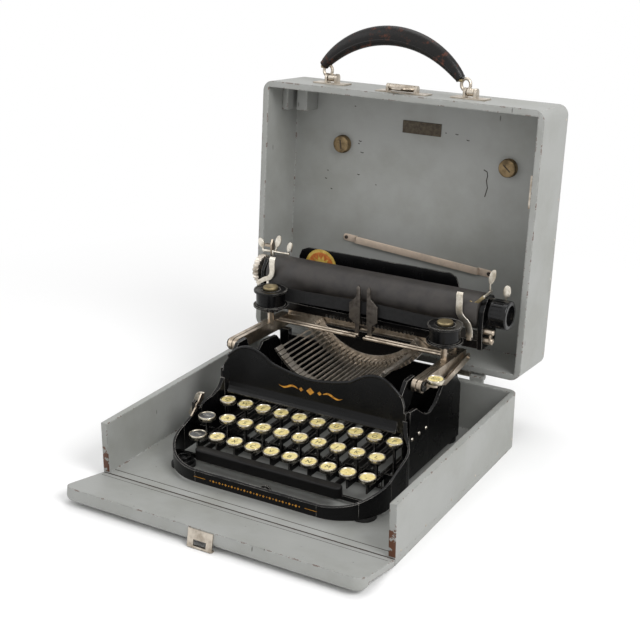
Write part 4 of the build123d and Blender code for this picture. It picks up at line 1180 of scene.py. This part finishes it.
@dataclass
class Studio:
    """A pale floor, soft lamps and the camera at the photograph's angle."""

    camera_place: Point = (526.41, -904.18, 535.61)
    forward: Point = (-0.46760, 0.80923, -0.35566)
    right: Point = (0.86515, 0.50150, 0.00361)
    up: Point = (-0.18129, 0.30602, 0.93460)
    lens: float = 71.67
    sensor: float = 36.0
    aim: Point = (0.0, 20.0, 100.0)
    floor_radius: float = 9000.0
    world_strength: float = 0.57
    white: str = "#ffffff"
    fade_mm: Flat = (320.0, 750.0)
    lamps: tuple[tuple[str, Point, float, float], ...] = (
        ("key", (1250.0, -420.0, 1250.0), 900.0, 16.5),
        ("fill", (-1300.0, -900.0, 1100.0), 1400.0, 4.6),
        ("top", (-100.0, 500.0, 1700.0), 1200.0, 8.0))

    def build(self) -> None:
        """Set the floor, the lamps, the background and the camera."""
        self.floor()
        self.light()
        self.background()
        self.camera()
        bpy.context.scene.view_settings.view_transform = "Standard"

    def seen(self, add: Adder) -> Node:
        """Return 1 for a camera, glossy or transmission ray and 0 for a ray that lights the object."""
        path = add("LightPath")
        sharp = add("Math", GREATER, {0: path.outputs["Is Camera Ray"], 1: path.outputs["Is Glossy Ray"]})
        return add("Math", GREATER, {0: sharp, 1: path.outputs["Is Transmission Ray"]})

    def floor(self) -> None:
        """Lay the pale floor, which keeps the object's shadow and fades to plain white far out."""
        points, faces = lathe([(0.0, 0.0), (self.floor_radius, 0.0)], 96)
        mesh = bpy.data.meshes.new("studio_floor")
        mesh.from_pydata([Vector(p) * MM for p in points], [], faces)
        made = bpy.data.materials.new("matt paper sweep")
        add = blank(made)
        paper = add("BsdfPrincipled", {"Base Color": linear("#fbfbfb"), "Roughness": 0.9,
                                       "Specular IOR Level": 0.1})
        away = add("VectorMath", {"operation": "LENGTH"}, {0: add("TexCoord").outputs["Object"]})
        near, gone = (distance * MM for distance in self.fade_mm)
        far = add("MapRange", {"From Min": near, "From Max": gone}, {"Value": away.outputs["Value"]})
        share = add("Math", TIMES, {0: far, 1: self.seen(add)})
        plain = add("Emission", {"Color": linear(self.white), "Strength": 1.0})
        add("OutputMaterial", {}, {"Surface": add("MixShader", {}, {0: share, 1: paper, 2: plain})})
        mesh.materials.append(made)
        floor = new_object("studio_floor", mesh)
        floor.location.z = CAD_BOX[0][2]

    def light(self) -> None:
        """Hang the lamps."""
        for name, place, size, power in self.lamps:
            data = bpy.data.lights.new(name, "AREA")
            data.shape = "DISK"
            data.size = size * MM
            data.energy = power
            lamp = new_object(name, data)
            lamp.location = Vector(place) * MM
            aim = Vector(self.aim) * MM - lamp.location
            lamp.rotation_euler = aim.to_track_quat("-Z", "Y").to_euler()

    def background(self) -> None:
        """Light the world evenly, with plain white where it is seen."""
        world = bpy.data.worlds.new("white studio")
        bpy.context.scene.world = world
        add = blank(world)
        own, plain = (add("Background", {"Color": linear(self.white), "Strength": strength})
                      for strength in (self.world_strength, 1.0))
        add("OutputWorld", {}, {"Surface": add("MixShader", {}, {0: self.seen(add), 1: own, 2: plain})})

    def camera(self) -> None:
        """Stand the camera where the photograph was taken."""
        data = bpy.data.cameras.new("camera")
        data.lens = self.lens
        data.sensor_width = self.sensor
        data.clip_end = 100.0
        eye = new_object("camera", data)
        columns = [Vector(self.right), Vector(self.up), -Vector(self.forward)]
        turn = Matrix([[c[i] for c in columns] for i in range(3)]).to_4x4()
        eye.matrix_world = Matrix.Translation(Vector(self.camera_place) * MM) @ turn
        bpy.context.scene.camera = eye


def write_size() -> None:
    """Hold a helper that turns a box of vectors into lists of numbers; nothing is written or compared."""
    def plain(box: Any) -> list[list[float]]:
        """Turn a box of vectors into lists of numbers."""
        return [[round(float(c), 5) for c in corner] for corner in box]


def main() -> None:
    """Build every sub-assembly in order and report its pieces."""
    for assembly in (TravelCase(), CarryHandle(), MachineBody(), Keyboard(), TypeBasket(), Carriage(),
                     Studio()):
        before = set(bpy.data.objects)
        assembly.build()
        for piece in sorted(o.name for o in bpy.data.objects if o not in before):
            log.info("%s: %s", type(assembly).__name__, piece)
    write_size()


if __name__ == "__main__":
    main()
